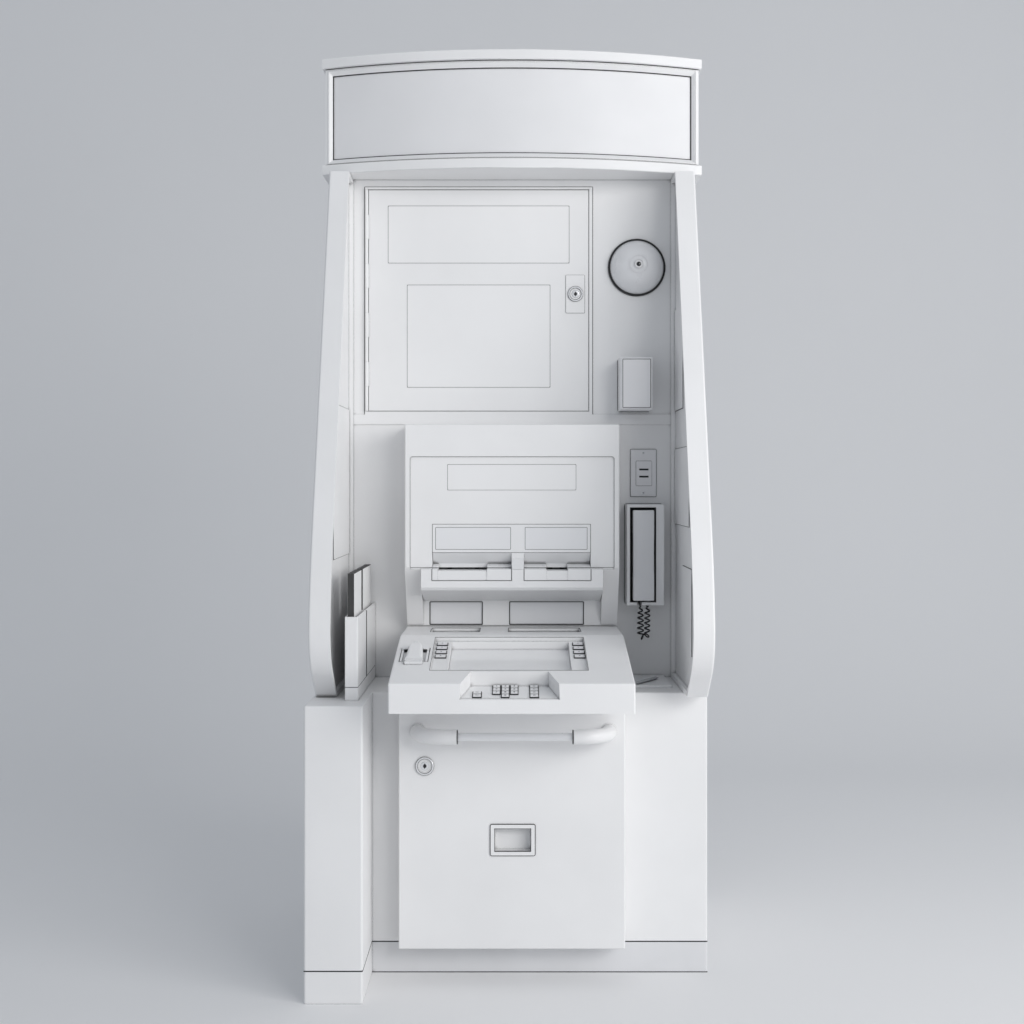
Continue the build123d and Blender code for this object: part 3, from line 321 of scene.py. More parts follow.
def rounded(left, right, bottom, top, radius, steps=4):
    """Points round a rectangle with rounded corners, as (across, up)."""
    points = []
    for cx, cz, start in ((right - radius, top - radius, 0), (left + radius, top - radius, 90),
                          (left + radius, bottom + radius, 180), (right - radius, bottom + radius, 270)):
        for step in range(steps + 1):
            angle = radians(start + 90 * step / steps)
            points.append((cx + radius * cos(angle), cz + radius * sin(angle)))
    return points


def panel(left, right, back, front, bottom, top, corner, radius=0.5):
    """An upright plate with rounded corners."""
    outline = [at(x, back, z) for x, z in rounded(left, right, bottom, top, corner)]
    return prism(outline, at(0, front, 0) - at(0, back, 0), radius)


def square_ring(spot, left, right, low, high, wide, near, far, corner=1.0):
    """Flat ring outside a rectangle; spot turns (across, up, depth) into a place."""
    def loop(grow, depth):
        return [spot(x, y, depth) for x, y in rounded(left - grow, right + grow, low - grow, high + grow,
                                                      corner + grow)]
    return loft([loop(0, near), loop(0, far), loop(wide, far), loop(wide, near)], closed=True)


def frame_ring(*sizes):
    """Ring on an upright face: left, right, bottom, top, width, back, front and corner radius."""
    return square_ring(lambda x, z, ahead: at(x, ahead, z), *sizes)


def flat_ring(*sizes):
    """Ring on a level face: left, right, back, front, width, low and high."""
    return square_ring(at, *sizes)


def loft(rings, closed=False):
    """Skin through rings of equally many points; closed joins the last ring to the first."""
    shape = bmesh.new()
    rows = [[shape.verts.new(p) for p in ring] for ring in rings]
    pairs = list(zip(rows, rows[1:])) + ([(rows[-1], rows[0])] if closed else [])
    for a, b in pairs:
        for i in range(len(a)):
            j = (i + 1) % len(a)
            shape.faces.new([a[i], a[j], b[j], b[i]])
    if not closed:
        shape.faces.new(list(reversed(rows[0])))
        shape.faces.new(rows[-1])
    return shape


def lathe(profile, centre, axis=Vector((0, -1, 0)), sides=40):
    """Turned piece: profile is (radius, height) in millimetres, from axis to axis or as a closed ring."""
    across = axis.orthogonal().normalized()
    over = axis.cross(across).normalized()
    shape = bmesh.new()
    rings = []
    for radius, high in profile:
        turns = [tau * k / sides for k in range(sides)] if radius > 1e-6 else [0]
        rings.append([shape.verts.new(centre + axis * high * MM + spoke(across, over, turn, radius))
                      for turn in turns])
    if len(rings[0]) > 1:
        rings.append(rings[0])
    for a, b in zip(rings, rings[1:]):
        for k in range(sides):
            n = (k + 1) % sides
            corners = [a[k % len(a)], a[n % len(a)], b[n % len(b)], b[k % len(b)]]
            unique = [v for i, v in enumerate(corners) if v not in corners[:i]]
            if len(unique) > 2:
                shape.faces.new(unique)
    return shape


def hoop(inner, wide, high, centre, sides):
    """Plain ring standing on an upright face."""
    return lathe([(inner, 0), (inner, high), (inner + wide, high), (inner + wide, 0)], centre, sides=sides)


def frames(points, normal=None):
    """Each point of a line with two directions square to it, carried along the line without twist."""
    for i, point in enumerate(points):
        along = (points[min(i + 1, len(points) - 1)] - points[max(i - 1, 0)]).normalized()
        normal = along.orthogonal() if normal is None else normal
        normal = (normal - along * normal.dot(along)).normalized()
        yield point, normal, along.cross(normal)


def spoke(first, second, turn, reach):
    """The vector of this reach in millimetres, turned from the first direction towards the second."""
    return (first * cos(turn) + second * sin(turn)) * reach * MM


def tube(points, radius, sides=12):
    """Round bar along points, with closed ends."""
    turns = [tau * k / sides for k in range(sides)]
    return loft([[point + spoke(normal, over, turn, radius) for turn in turns]
                 for point, normal, over in frames(points)])


def screw_head(x, ahead, z, radius=4.5, facing=1):
    """Pan head with a cross recess, on an upright face; facing is -1 on the rear."""
    axis = Vector((0, -facing, 0))
    centre = at(x, ahead, z)
    high = 0.42 * radius
    head = lathe([(radius, 0), (radius, 0.35 * high), (0.8 * radius, 0.85 * high), (0.45 * radius, high),
                  (0.40 * radius, 0.35 * high), (0, 0.35 * high)], centre, axis, 16)
    cross = [slab(x - a, x + a, ahead + facing * 0.2, ahead + facing * high * 0.8, z - b, z + b, 0)
             for a, b in ((0.38 * radius, 0.08 * radius), (0.08 * radius, 0.38 * radius))]
    return join(head, *cross)


# ---- camera, lights and floor
CAMERA_PLACE = (0.006, -3.5265, 1.161)
CAMERA_SHIFT = (-0.0024, -0.0269)
LAMP_AIM = (0, 0, 1.0)
LAMP_COLOUR = (1.0, 0.985, 0.97)
SKY_COLOUR = (0.84, 0.89, 0.96, 1)
FLOOR_EDGE, CURVE_START, CURVE_RADIUS, BACKDROP_TOP = 9.0, 2.2, 2.4, 9.0


def make_camera():
    """Level view from in front of the machine at chest height, with the lens shifted down a little."""
    data = bpy.data.cameras.new("camera")
    data.lens, data.sensor_width = 50, 36
    data.shift_x, data.shift_y = CAMERA_SHIFT
    data.dof.use_dof = False
    camera = bpy.data.objects.new("camera", data)
    camera.location = CAMERA_PLACE
    camera.rotation_euler = (radians(90), 0, 0)
    link(camera)
    scene.camera = camera


def soft_lamp(name, place, size, power):
    """Round area lamp that looks at the middle of the machine."""
    data = bpy.data.lights.new(name, "AREA")
    data.shape, data.size, data.energy, data.color = "DISK", size, power, LAMP_COLOUR
    lamp = bpy.data.objects.new(name, data)
    lamp.location = place
    lamp.rotation_euler = (Vector(LAMP_AIM) - Vector(place)).to_track_quat("-Z", "Y").to_euler()
    link(lamp)


def make_studio():
    """Pale floor that curves up into a backdrop, two soft lamps and a broad even sky."""
    profile = [(-FLOOR_EDGE, 0.0), (CURVE_START, 0.0)]
    profile += [(CURVE_START + CURVE_RADIUS * sin(radians(a)),
                 CURVE_RADIUS - CURVE_RADIUS * cos(radians(a))) for a in range(5, 91, 5)]
    profile.append((CURVE_START + CURVE_RADIUS, BACKDROP_TOP))
    shape = bmesh.new()
    rows = [[shape.verts.new((x, y, z)) for x in (-FLOOR_EDGE, FLOOR_EDGE)] for y, z in profile]
    for a, b in zip(rows, rows[1:]):
        shape.faces.new([a[0], a[1], b[1], b[0]])
    stand("studio_floor", as_mesh("studio_floor", shape), "studio_floor")
    soft_lamp("key_lamp", (3.9, -3.1, 2.1), 3.2, 110)
    soft_lamp("front_lamp", (2.2, -4.6, 2.9), 1.8, 46)
    world = bpy.data.worlds.new("studio")
    world.use_nodes = True
    sky = world.node_tree.nodes["Background"]
    sky.inputs["Color"].default_value = SKY_COLOUR
    sky.inputs["Strength"].default_value = 0.5
    scene.world = world
    scene.view_settings.view_transform = "Standard"


# ---- handset cord
CORD_ROUTE = ((325.0, 54.0, 852.0), (325.0, 54.0, 793.2), (325.0, 54.0, 774.8), (342.0, 50.0, 774.8),
              (342.0, 50.0, 793.2), (343.0, 50.0, 852.0))
CORD_EXIT = (322.0, 56.0, 868.0)
CORD_END = (343.0, 50.0, 855.0)
WIRE_THICK = 3.8
COIL_RADIUS = 6.1
COIL_TURNS = 13
POINTS_PER_TURN = 24


def nurbs(name, points):
    """Smooth open curve whose control points are the given places in metres."""
    data = bpy.data.curves.new(name, "CURVE")
    data.dimensions = "3D"
    data.resolution_u = 12
    spline = data.splines.new("NURBS")
    spline.points.add(len(points) - 1)
    for control, point in zip(spline.points, points):
        control.co = (*point, 1)
    spline.order_u = 3
    spline.use_endpoint_u = True
    return data


def curve_mesh(data):
    """The mesh of a curve or of a text."""
    holder = bpy.data.objects.new("holder", data)
    mesh = bpy.data.meshes.new_from_object(holder)
    bpy.data.objects.remove(holder)
    return mesh


def curve_points(data):
    """The points along a curve with no bevel."""
    return [v.co.copy() for v in curve_mesh(data).vertices]


def evenly(points, count):
    """The line again as count + 1 points an equal distance apart."""
    steps = [(b - a).length for a, b in zip(points, points[1:])]
    total, along, spaced, i = sum(steps), 0.0, [], 0
    for k in range(count + 1):
        goal = total * k / count
        while i < len(steps) - 1 and along + steps[i] < goal:
            along += steps[i]
            i += 1
        spaced.append(points[i].lerp(points[i + 1], min(1, (goal - along) / steps[i])))
    return spaced


def handset_cord():
    """Curly cord: a coiled wire that hangs from the handset and doubles back to the cradle."""
    route = evenly(curve_points(nurbs("cord_route", [at(*p) for p in CORD_ROUTE])),
                   COIL_TURNS * POINTS_PER_TURN)
    helix = []
    for k, (point, normal, over) in enumerate(frames(route, Vector((1, 0, 0)))):
        turn = tau * k / POINTS_PER_TURN + pi / 2
        ends = min(k, len(route) - 1 - k) / POINTS_PER_TURN
        slack = 1.2 * max(0, sin(tau * (k / len(route) - 0.08)))
        grow = (COIL_RADIUS + slack) * min(1, 0.2 + 0.8 * ends)
        helix.append(point + spoke(normal, over, turn, grow))
    wire = [at(*CORD_EXIT), at(*CORD_EXIT[:2], 861), *helix, at(*CORD_END[:2], 853), at(*CORD_END)]
    data = nurbs("handset_wire", wire)
    data.resolution_u = 3
    centre = curve_points(data.copy())
    data.bevel_depth = WIRE_THICK / 2 * MM
    data.bevel_resolution = 3
    data.use_fill_caps = True
    cord = stand("coiled_handset_cord", curve_mesh(data), "cord_jacket")
    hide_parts("handset_cord")
    length = sum((b - a).length for a, b in zip(centre, centre[1:]))
    [tuple(p) for p in centre]
    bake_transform(cord)


def cord_bushes():
    """Short tapered reliefs where the wire leaves the handset and enters the cradle."""
    down = Vector((0, 0, -1))
    profile = [(0, 0), (4.2, 0), (4.2, 1.5), (2.9, 5.5), (2.4, 8), (0, 8)]
    add_rubber("handset_cord_bush", lathe(profile, at(*CORD_EXIT), down, 20), "cord_jacket", "handset")
    base_profile = [(0, 0), (4.2, 0), (4.0, 2), (2.6, 4.5), (0, 4.5)]
    add_rubber("cradle_cord_bush", lathe(base_profile, at(*CORD_END), down, 20), "cord_jacket")


# ---- canopy
CAP_HIGH = 25
CANOPY_MIDDLE, CANOPY_CORNER = 139, 53
SIGN_HALF, SIGN_BOTTOM, SIGN_TOP = 455, 1984, 2197
SHELL_INSET, SHELL_SKIN = 7.5, 12
SIGN_BEVEL = 9


def bow(x, inset):
    """How far ahead the canopy's bowed front is at this X, set back by inset."""
    half = extent("canopy_shell").right
    rise = CANOPY_MIDDLE - CANOPY_CORNER
    radius = (half ** 2 + rise ** 2) / (2 * rise)
    return CANOPY_MIDDLE - radius + sqrt((radius - inset) ** 2 - x ** 2)


def bowed_ring(half, bottom, top, inset, steps=28):
    """Points round a rectangle laid on the bowed front."""
    across = [half * (2 * k / steps - 1) for k in range(steps + 1)]
    return [at(x, bow(x, inset), bottom) for x in across] + [at(x, bow(x, inset), top)
                                                            for x in reversed(across)]


def canopy_sign_frame():
    """Dark gasket between the lit panel and the bevelled opening, and a bead outside the bevel."""
    seat = SHELL_INSET + SHELL_SKIN
    seal = [bowed_ring(SIGN_HALF - inset, SIGN_BOTTOM + inset, SIGN_TOP - inset, deep)
            for inset, deep in ((0.2, seat + 0.2), (0.2, seat - 2), (2.2, seat - 2), (2.2, seat + 0.2))]
    add_rubber("sign_gasket", loft(seal, closed=True), "sign_acrylic")
    grow = SIGN_BEVEL + 1
    bead = [bowed_ring(SIGN_HALF + grow + out, SIGN_BOTTOM - grow - out, SIGN_TOP + grow + out,
                       SHELL_INSET - proud)
            for out, proud in ((0, -0.3), (0, 0.9), (0.5, 1.3), (1.3, 1.3), (1.8, 0.9), (1.8, -0.3))]
    add_piece("sign_frame_bead", loft(bead, closed=True), "canopy_paint")
    shell = extent("canopy_shell")
    for name, low, high in (("bottom", shell.bottom + CAP_HIGH, shell.bottom + CAP_HIGH + 1.6),
                            ("top", shell.top - CAP_HIGH - 1.6, shell.top - CAP_HIGH)):
        half = shell.right - SHELL_INSET
        seam = [bowed_ring(half, low, high, SHELL_INSET + 1), bowed_ring(half, low, high, SHELL_INSET - 1.4)]
        add_rubber(f"canopy_seam_{name}", loft(seam), "canopy_paint")


# ---- wall, service door and lock
def label_sheets():
    """Blank instruction plates let into the service door and the fascia."""
    labels = (("upper", -319, 147, 1729, 1877), ("lower", -270, 98, 1410, 1674))
    for name, left, right, bottom, top in labels:
        sheet = panel(left + 1, right - 1, 1.3, 2.1, bottom + 1, top - 1, 3, 0.25)
        add_piece(f"service_door_label_{name}", sheet, "label_film", "wall_paint", "upper_door")
        edge = frame_ring(left + 1, right - 1, bottom + 1, top - 1, 0.8, 1.3, 2.0, 2)
        add_rubber(f"service_door_label_{name}_edge", edge, "wall_paint", "upper_door")
    plate = (-160, 158.7, 1147.4, 1210.4)
    sheet = panel(*plate[:2], 118.3, 119.1, *plate[2:], 3, 0.25)
    add_piece("fascia_label", sheet, "label_film", "moulding")
    add_rubber("fascia_label_edge", frame_ring(*plate, 0.7, 118.3, 119.05, 2), "moulding")


def seals():
    """Thin dark seals and shadow gaps where one panel meets the next."""
    lines = {
        "service_door_trim_seal": frame_ring(-378.2, 206.2, 1341.2, 1924.7, 1.4, 0, 1.2, 0.5),
        "fascia_panel_seal": frame_ring(-253.2, 253.5, 955, 1229.7, 0.8, 118.5, 119.6, 3),
        "reader_tower_seal": frame_ring(-197.6, 194.7, 992, 1061.7, 0.9, 118.4, 119.4),
        "outlet_seal": join(frame_ring(304, 370, 1130, 1251, 1.0, 0, 1.0, 2),
                            frame_ring(318, 358, 1158, 1221, 0.7, 5.5, 6.3, 2)),
        "sensor_box_seal": frame_ring(272, 353, 1348.5, 1481, 1.3, 0, 1.2, 4),
        "phone_seal": frame_ring(289.5, 385, 855, 1111, 1.3, 0, 1.2, 5),
        "fascia_wall_seal": frame_ring(-266.5, 266.5, 802, 1310, 1.1, 0, 1.2, 2),
        "base_seams": join(slab(-333, 465.4, 269, 270.5, 72.6, 74.6, 0.3),
                           slab(-333, 465.5, 269, 270.4, 0, 2, 0.3),
                           slab(-465.3, -332.7, 478, 479.4, 72.6, 74.6, 0.3),
                           slab(-333.2, -332.6, 270, 478.5, 72.6, 74.6, 0.2)),
        "coin_well_seal": flat_ring(-199.6, -79.7, 77, 174, 1.0, 799, 800.3),
        "note_well_seal": flat_ring(-8.7, 168.8, 77, 174, 1.2, 799, 800.3)}
    for name, shape in lines.items():
        add_rubber(name, shape, "moulding")
    gap = frame_ring(-369, 196, 1350, 1917, 1.9, -6, -0.8, 0.3)
    add_piece("service_door_gap_seal", gap, "fitting_plastic", "wall_paint")
    plate = frame_ring(138, 186, 1601.5, 1698.5, 0.8, 1.5, 2.4, 2)
    add_rubber("lock_plate_seal", plate, "wall_paint", "upper_door")
    cup = join(frame_ring(-49.5, 53.5, 297, 368.5, 1.6, 340.5, 343, 3),
               frame_ring(-39.9, 43.9, 306.6, 358.9, 1.1, 337, 343.1, 0.5))
    add_rubber("pull_cup_seals", cup, "door_paint", "safe_door")


def rack_seams():
    """Dark joints between the rack's foot and its two pockets."""
    rack = extent("envelope_holder")
    side = (rack.right - 1, rack.right - 0.15)
    joints = [slab(rack.left + 1, rack.right - 1, rack.front - 1, rack.front - 0.15, 696.1, 697.9, 0),
              slab(*side, 1, rack.front - 1, 696.1, 697.9, 0),
              slab(side[0], rack.right + 1.6, 217.5, 220.5, 697.7, 857.5, 0.4)]
    add_rubber("rack_seams", join(*joints), "rack_plastic")


def lock_ring(name, x, front, z, body, outer):
    """Turned escutcheon ring round a lock plug, standing on the boss."""
    profile = [(outer, 0), (outer, 0.8), (outer - 1.2, 1.6), (outer - 3.2, 1.6), (outer - 3.8, 0.9),
               (outer - 3.8, 0)]
    add_piece(name, lathe(profile, at(x, front, z), sides=56), "rail_steel", "door_paint", body)
    lines = [hoop(inner, 0.7, high, at(x, front, z), 56)
             for inner, high in ((outer, 0.8), (outer - 4.5, 1.0))]
    add_rubber(f"{name}_seals", join(*lines), "door_paint", body)


def keyhole(name, x, front, z, body):
    """Turned face with a dark keyway, on the front of a lock plug."""
    add_piece(f"{name}_face", lathe([(9.2, 0), (9.2, 0.5), (8.4, 0.9), (4.6, 0.9), (4.1, 0.5), (4.1, 0)],
              at(x, front, z), sides=40), "rail_steel", "bare_steel", body)
    outline = [at(x + across, front + 0.1, z + up)
               for across, up in ((0, 6.5), (4.1, 0), (0, -6.5), (-4.1, 0))]
    slot = prism(outline, at(0, 1, 0) - at(0, 0, 0), 0.2)
    add_rubber(f"{name}_keyway", slot, "bare_steel", body)


def locks():
    """Ring and keyhole of both locks."""
    for name, x, boss, z, door, outer in (("safe_lock", -203, 344, 505, "safe_door", 21),
                                          ("upper_lock", 162.6, 6, 1650, "upper_door", 19)):
        lock_ring(f"{name}_ring", x, boss, z, door, outer)
        keyhole(name, x, extent(f"{name}_plug").front, z, name)


# ---- wings
POCKET_FACE = 419.6
WING_BROW_AHEAD, WING_BROW_HEIGHT, WING_SLANT, WING_MARGIN = 419, 1044, 0.3544, 16


def board_outline(back, front, bottom, top, grow):
    """Corners of a notice on a wing, cut back where the wing's sloping front edge comes near."""
    def limit(z):
        return WING_BROW_AHEAD - (z - WING_BROW_HEIGHT) * WING_SLANT - WING_MARGIN + grow
    back, front, bottom, top = back - grow, front + grow, bottom - grow, top + grow
    points = [(back, top), (back, bottom), (front, bottom)]
    if limit(top) > front:
        return points + [(front, top)]
    cut = WING_BROW_HEIGHT + (WING_BROW_AHEAD - WING_MARGIN + grow - front) / WING_SLANT
    return points + [(front, cut), (limit(top), top)]


def posters():
    """Blank notice boards on the inner faces of the wings, each on a thin dark backing."""
    boards = (("right_high", 1, 14, 172, 1349, 1606), ("right_middle", 1, 14, 296, 1061, 1251),
              ("right_low", 1, 172, 346, 761, 962), ("left", -1, 14, 319, 985, 1352))
    layers = (("", 0, 3, "poster_paper"), ("_backing", 1.5, 1.4, "black_rubber"))
    for name, side, back, front, bottom, top in boards:
        for suffix, grow, thick, finish in layers:
            outline = [at(side * POCKET_FACE, ahead, z)
                       for ahead, z in board_outline(back, front, bottom, top, grow)]
            board = prism(outline, Vector((-side * thick * MM, 0, 0)), 0.3)
            add_piece(f"notice_{name}{suffix}", board, finish, "wing_paint")


# ---- fascia, reader and alcove
READER_WINDOWS = ((-190.7, -3.0), (32.0, 187.3))
READER_WINDOW_Z = (999.0, 1054.7)
ALCOVE_WINDOWS = ((-209.9, -75.0), (-7.2, 182.5))
ALCOVE_WINDOW_Z = (804.0, 863.0)
PANEL_AHEAD, ALCOVE_AHEAD = 119, 34


def windows():
    """Acrylic lenses over the reader's pictures and in the alcove's two recesses, each in a seal."""
    sets = (("reader", READER_WINDOWS, READER_WINDOW_Z, 0.9, 0.9, "reader_plastic",
             (PANEL_AHEAD - 2, PANEL_AHEAD + 0.2, PANEL_AHEAD + 0.1), 0.4),
            ("alcove", ALCOVE_WINDOWS, ALCOVE_WINDOW_Z, 1.6, 2.0, "moulding",
             (ALCOVE_AHEAD - 7, ALCOVE_AHEAD - 2, ALCOVE_AHEAD + 0.4), 0.5))
    for place, spans, (bottom, top), inset, wide, slot, (back, front, seal_front), radius in sets:
        low, high = bottom + inset, top - inset
        for number, (left, right) in enumerate(spans, 1):
            left, right = left + inset, right - inset
            name = f"{place}_window_{number}"
            plate = panel(left, right, back, front, low, high, 1.2, radius)
            add_piece(name, plate, "window_acrylic", slot)
            add_rubber(f"{name}_seal", frame_ring(left, right, low, high, wide, back, seal_front), slot)


def slot_rollers():
    """Feed rollers inside the card and passbook slots."""
    for name, left, right in (("passbook", -183.8, -61.8), ("card", 85.0, 138.0)):
        middle = (left + right) / 2
        rollers = [lathe([(0, -5), (1.6, -5), (2.0, -4.4), (2.0, 4.4), (1.6, 5), (0, 5)],
                         at(x, 64, 950.5), Vector((1, 0, 0)), 20)
                   for x in (middle - 0.28 * (right - left), middle + 0.28 * (right - left))]
        add_rubber(f"{name}_rollers", join(*rollers), "reader_plastic")


# ---- console
CONSOLE_TOP, SHELF_AHEAD, LIP_Z = 800, 251, 731
SLOPE = atan2(CONSOLE_TOP - LIP_Z, extent("console").front - SHELF_AHEAD)
SLOPE_FRAME = Matrix.Translation(at(0, SHELF_AHEAD, CONSOLE_TOP)) @ Matrix.Rotation(SLOPE, 4, "X")
PAD_BED, TUB_BED = -34, -10


def down(ahead):
    """The distance down the sloping desk at this distance ahead of the wall."""
    return (ahead - SHELF_AHEAD) / cos(SLOPE)


def on_slope(x, along, rise):
    """A place on the sloping desk: X, distance down it and height square to it."""
    return SLOPE_FRAME @ Vector((x * MM, -along * MM, rise * MM))


def slope_slab(left, right, upper, lower, low, high, radius=0.8, steps=2):
    """A box lying on the desk, between two distances down it and two heights square to it."""
    corners = ((left, upper), (right, upper), (right, lower), (left, lower))
    outline = [on_slope(x, along, low) for x, along in corners]
    return prism(outline, on_slope(0, 0, high) - on_slope(0, 0, low), radius, steps)


def slope_ring(left, right, upper, lower, wide, low, high):
    """Rectangular collar lying on the desk."""
    def loop(grow, rise):
        return [on_slope(x, -z, rise) for x, z in rounded(left - grow, right + grow, -lower - grow,
                                                         -upper + grow, 0.25 + grow, 3)]
    return loft([loop(0, low), loop(wide, low), loop(wide, high - 0.5), loop(wide - 0.5, high),
                 loop(0.2, high), loop(0, high - 0.3)], closed=True)


def key_middle(node_name):
    """X and distance down the slope of a key's middle, from its box at rest."""
    low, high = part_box(node_name)
    local = SLOPE_FRAME.inverted() @ ((low + high) / 2)
    return local.x / MM, -local.y / MM


KEY_GROUPS = (("side_key_left", "1234", 23, 17, TUB_BED), ("side_key_right", "1234", 23, 17, TUB_BED),
              ("digit_key", "0123456789", 15, 13.5, PAD_BED), ("cancel_key", "12", 17, 13.5, PAD_BED),
              ("action_key", "1234", 17, 13.5, PAD_BED))
KEY_PROUD = 4


def key_collars():
    """Black rubber collar round the foot of every key."""
    for group, names, wide, long, bed in KEY_GROUPS:
        collars = []
        for number in names:
            x, along = key_middle(f"{group}_{number}")
            collars.append(slope_ring(x - wide / 2 - 0.35, x + wide / 2 + 0.35, along - long / 2 - 0.35,
                                      along + long / 2 + 0.35, 1.5, bed + 0.02, bed + 2.4))
        add_rubber(f"{group}_collars", join(*collars), "key_plastic")


def key_legends():
    """Raised numbers on the digit keys and plain marks on the others."""
    for group, names, _, _, bed in KEY_GROUPS:
        for number in names:
            name = f"{group}_{number}"
            x, along = key_middle(name)
            top = bed + KEY_PROUD
            if group == "digit_key":
                mark = digit_mark(number, x, along, top)
            elif group == "cancel_key":
                mark = bar_mark(x, along, top, 7, 1.6)
            elif group == "action_key":
                mark = round_mark(x, along, top, 2.8)
            else:
                mark = bar_mark(x, along, top, 3.2, 3.2)
            add_piece(f"{name}_legend", mark, "legend_ink", "key_plastic", name)


LEGEND_HIGH = 0.18
DIGIT_SIZE = 9.5


def digit_mark(text, x, along, top):
    """The number as a thin raised print, 8 mm high."""
    data = bpy.data.curves.new("digit", "FONT")
    data.body, data.size, data.align_x, data.align_y = text, DIGIT_SIZE, "CENTER", "CENTER"
    data.extrude, data.resolution_u = LEGEND_HIGH / 2, 4
    mesh = curve_mesh(data)
    shape = bmesh.new()
    shape.from_mesh(mesh)
    bpy.data.meshes.remove(mesh)
    shape.transform(SLOPE_FRAME @ Matrix.Translation(Vector((x, -along, top + LEGEND_HIGH / 2)) * MM)
                    @ Matrix.Scale(MM, 4))
    return shape


def bar_mark(x, along, top, wide, long):
    """Plain rectangular mark on a key."""
    return slope_slab(x - wide / 2, x + wide / 2, along - long / 2, along + long / 2, top,
                      top + LEGEND_HIGH, 0)


def round_mark(x, along, top, radius):
    """Ring mark on a key."""
    up = (SLOPE_FRAME.to_3x3() @ Vector((0, 0, 1))).normalized()
    return lathe([(radius, 0), (radius, LEGEND_HIGH), (radius - 0.8, LEGEND_HIGH), (radius - 0.8, 0)],
                 on_slope(x, along, top), up, 28)


def screen_bezel():
    """Pale gasket round the touch screen, and a dark seal round the mouth of its recess."""
    screen = extent("display")
    upper, lower = down(272), down(497)
    ring = slope_ring(screen.left + 2, screen.right - 2, upper + 2, lower - 2, 1.8, -29, -27.8)
    add_piece("screen_gasket", ring, "fitting_plastic", "screen_glass")
    mouth = slope_ring(-182, 170, down(267), down(501), 0.9, -0.4, 0.6)
    add_rubber("screen_recess_seal", mouth, "moulding")


def vein_reader():
    """Finger sensor: bed, two raised cheeks and a hood that widens towards the customer."""
    bed = slope_slab(-255, -190, down(346), down(443), -7.9, -3, 0.8)
    cheeks = [slope_slab(x, x + 15, down(347), down(366), -3, 6, 1.0) for x in (-254, -206)]
    rails = [slope_slab(x, x + 5, down(366), down(442), -3, 1.5, 0.8) for x in (-254, -196)]
    stations = ((349, 9.5, 14.5), (351, 11.0, 17.5), (359, 11.6, 18.5), (366, 14.0, 18.5), (374, 16.0, 18),
                (400, 18.0, 14.5), (424, 19.4, 11.0), (436, 19.8, 9.0), (437, 19.5, 8.4))
    rings = []
    for ahead, half, high in stations:
        along = down(ahead)
        side = [(half, -3.0), (half, 0.5 * high), (0.93 * half, 0.8 * high), (0.8 * half, 0.96 * high),
                (0.6 * half, high)]
        points = [(-x, z) for x, z in side] + side[::-1]
        rings.append([on_slope(-221.5 + x, along, z) for x, z in points])
    hood = bevel_edges(loft(rings), 0.5, 2)
    button = slope_slab(-226, -217, down(350), down(357), 12, 19.6, 1.0)
    lip = join(slope_slab(-241.5, -201.5, down(435), down(450), 0.1, 8.4, 0.8),
               slope_slab(-241.5, -201.5, down(448), down(463), 0.1, 6.4, 0.8))
    piece = add_piece("finger_sensor", join(bed, *cheeks, *rails, hood, button, lip), "sensor_plastic",
                      sharp=38)
    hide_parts("vein_reader")
    # Dark strips: the two just in front of the cheeks are painted shade on the cheeks' front faces; the rest
    # are dark seams along the outer edges of the cheeks, rail and lip.
    strips = [slope_slab(x, x + 9, down(366), down(368.5), -3, 3.5, 0.3) for x in (-249, -205)]
    strips += [slope_slab(-255.4, -254.2, down(348), down(442), -4, 0.6, 0.2),
               slope_slab(-242.4, -241.4, down(436), down(463), 0.1, 4.5, 0.2),
               slope_slab(-190.8, -189.7, down(348), down(366), -4, 0.6, 0.2)]
    add_rubber("finger_sensor_shade_and_seams", join(*strips), "sensor_plastic")


# ---- wall fittings
def dome_fittings():
    """Lens, white ring and dark base seal of the camera dome."""
    dome = extent("camera_dome")
    x, z = (dome.left + dome.right) / 2, (dome.bottom + dome.top) / 2
    lens = lathe([(0, -3.2), (6.2, -3.2), (6.2, -0.2), (5.0, 0.5), (3.0, 0.9), (0, 1.1)],
                 at(x, dome.front, z), sides=36)
    add_piece("dome_lens", lens, "dark_lens", "dome_plastic")
    ring = lathe([(6.4, 0), (6.8, 0.7), (8.8, 0.7), (9.6, 0.1), (9.6, -1.4), (6.4, -1.4)],
                 at(x, dome.front, z), sides=48)
    add_piece("dome_lens_ring", ring, "canopy_paint", "dome_plastic")
    seal = lathe([(68.5, 7.0), (72.9, 6.2), (73.6, 4.6), (73.6, 0.4), (72.2, 0.2), (72.2, 4.2), (68.5, 4.9)],
                 at(x, 0, z), sides=96)
    add_rubber("dome_seal", seal, "dome_plastic")
    dome_half = (dome.right - dome.left) / 2
    radius = (dome_half ** 2 + (dome.front - 5) ** 2) / (2 * (dome.front - 5))
    for number, turned in enumerate((12, 23), 1):
        drop = radius - sqrt(radius ** 2 - turned ** 2)
        profile = [(turned - 0.4, -drop - 0.6), (turned - 0.4, -drop + 0.5), (turned + 0.4, -drop + 0.4),
                   (turned + 0.4, -drop - 0.6)]
        groove = lathe(profile, at(x, dome.front, z), sides=64)
        add_piece(f"dome_ring_{number}", groove, "fitting_plastic", "dome_plastic")


def outlet_fittings():
    """Dark contacts and two screws on the wall outlet."""
    plate = extent("outlet_plate")
    x = (plate.left + plate.right) / 2
    for z in (plate.bottom + 9, plate.top - 9):
        add_piece(f"outlet_screw_{round(z)}", screw_head(x, 6, z, 2.6), "zinc_screw", "fitting_plastic")
    contacts = [slab(326.5, 349.5, 2.2, 4.5, z - 1.5, z + 1.5, 0.3) for z in (1199.5, 1181.0)]
    add_rubber("outlet_contacts", join(*contacts), "fitting_plastic")


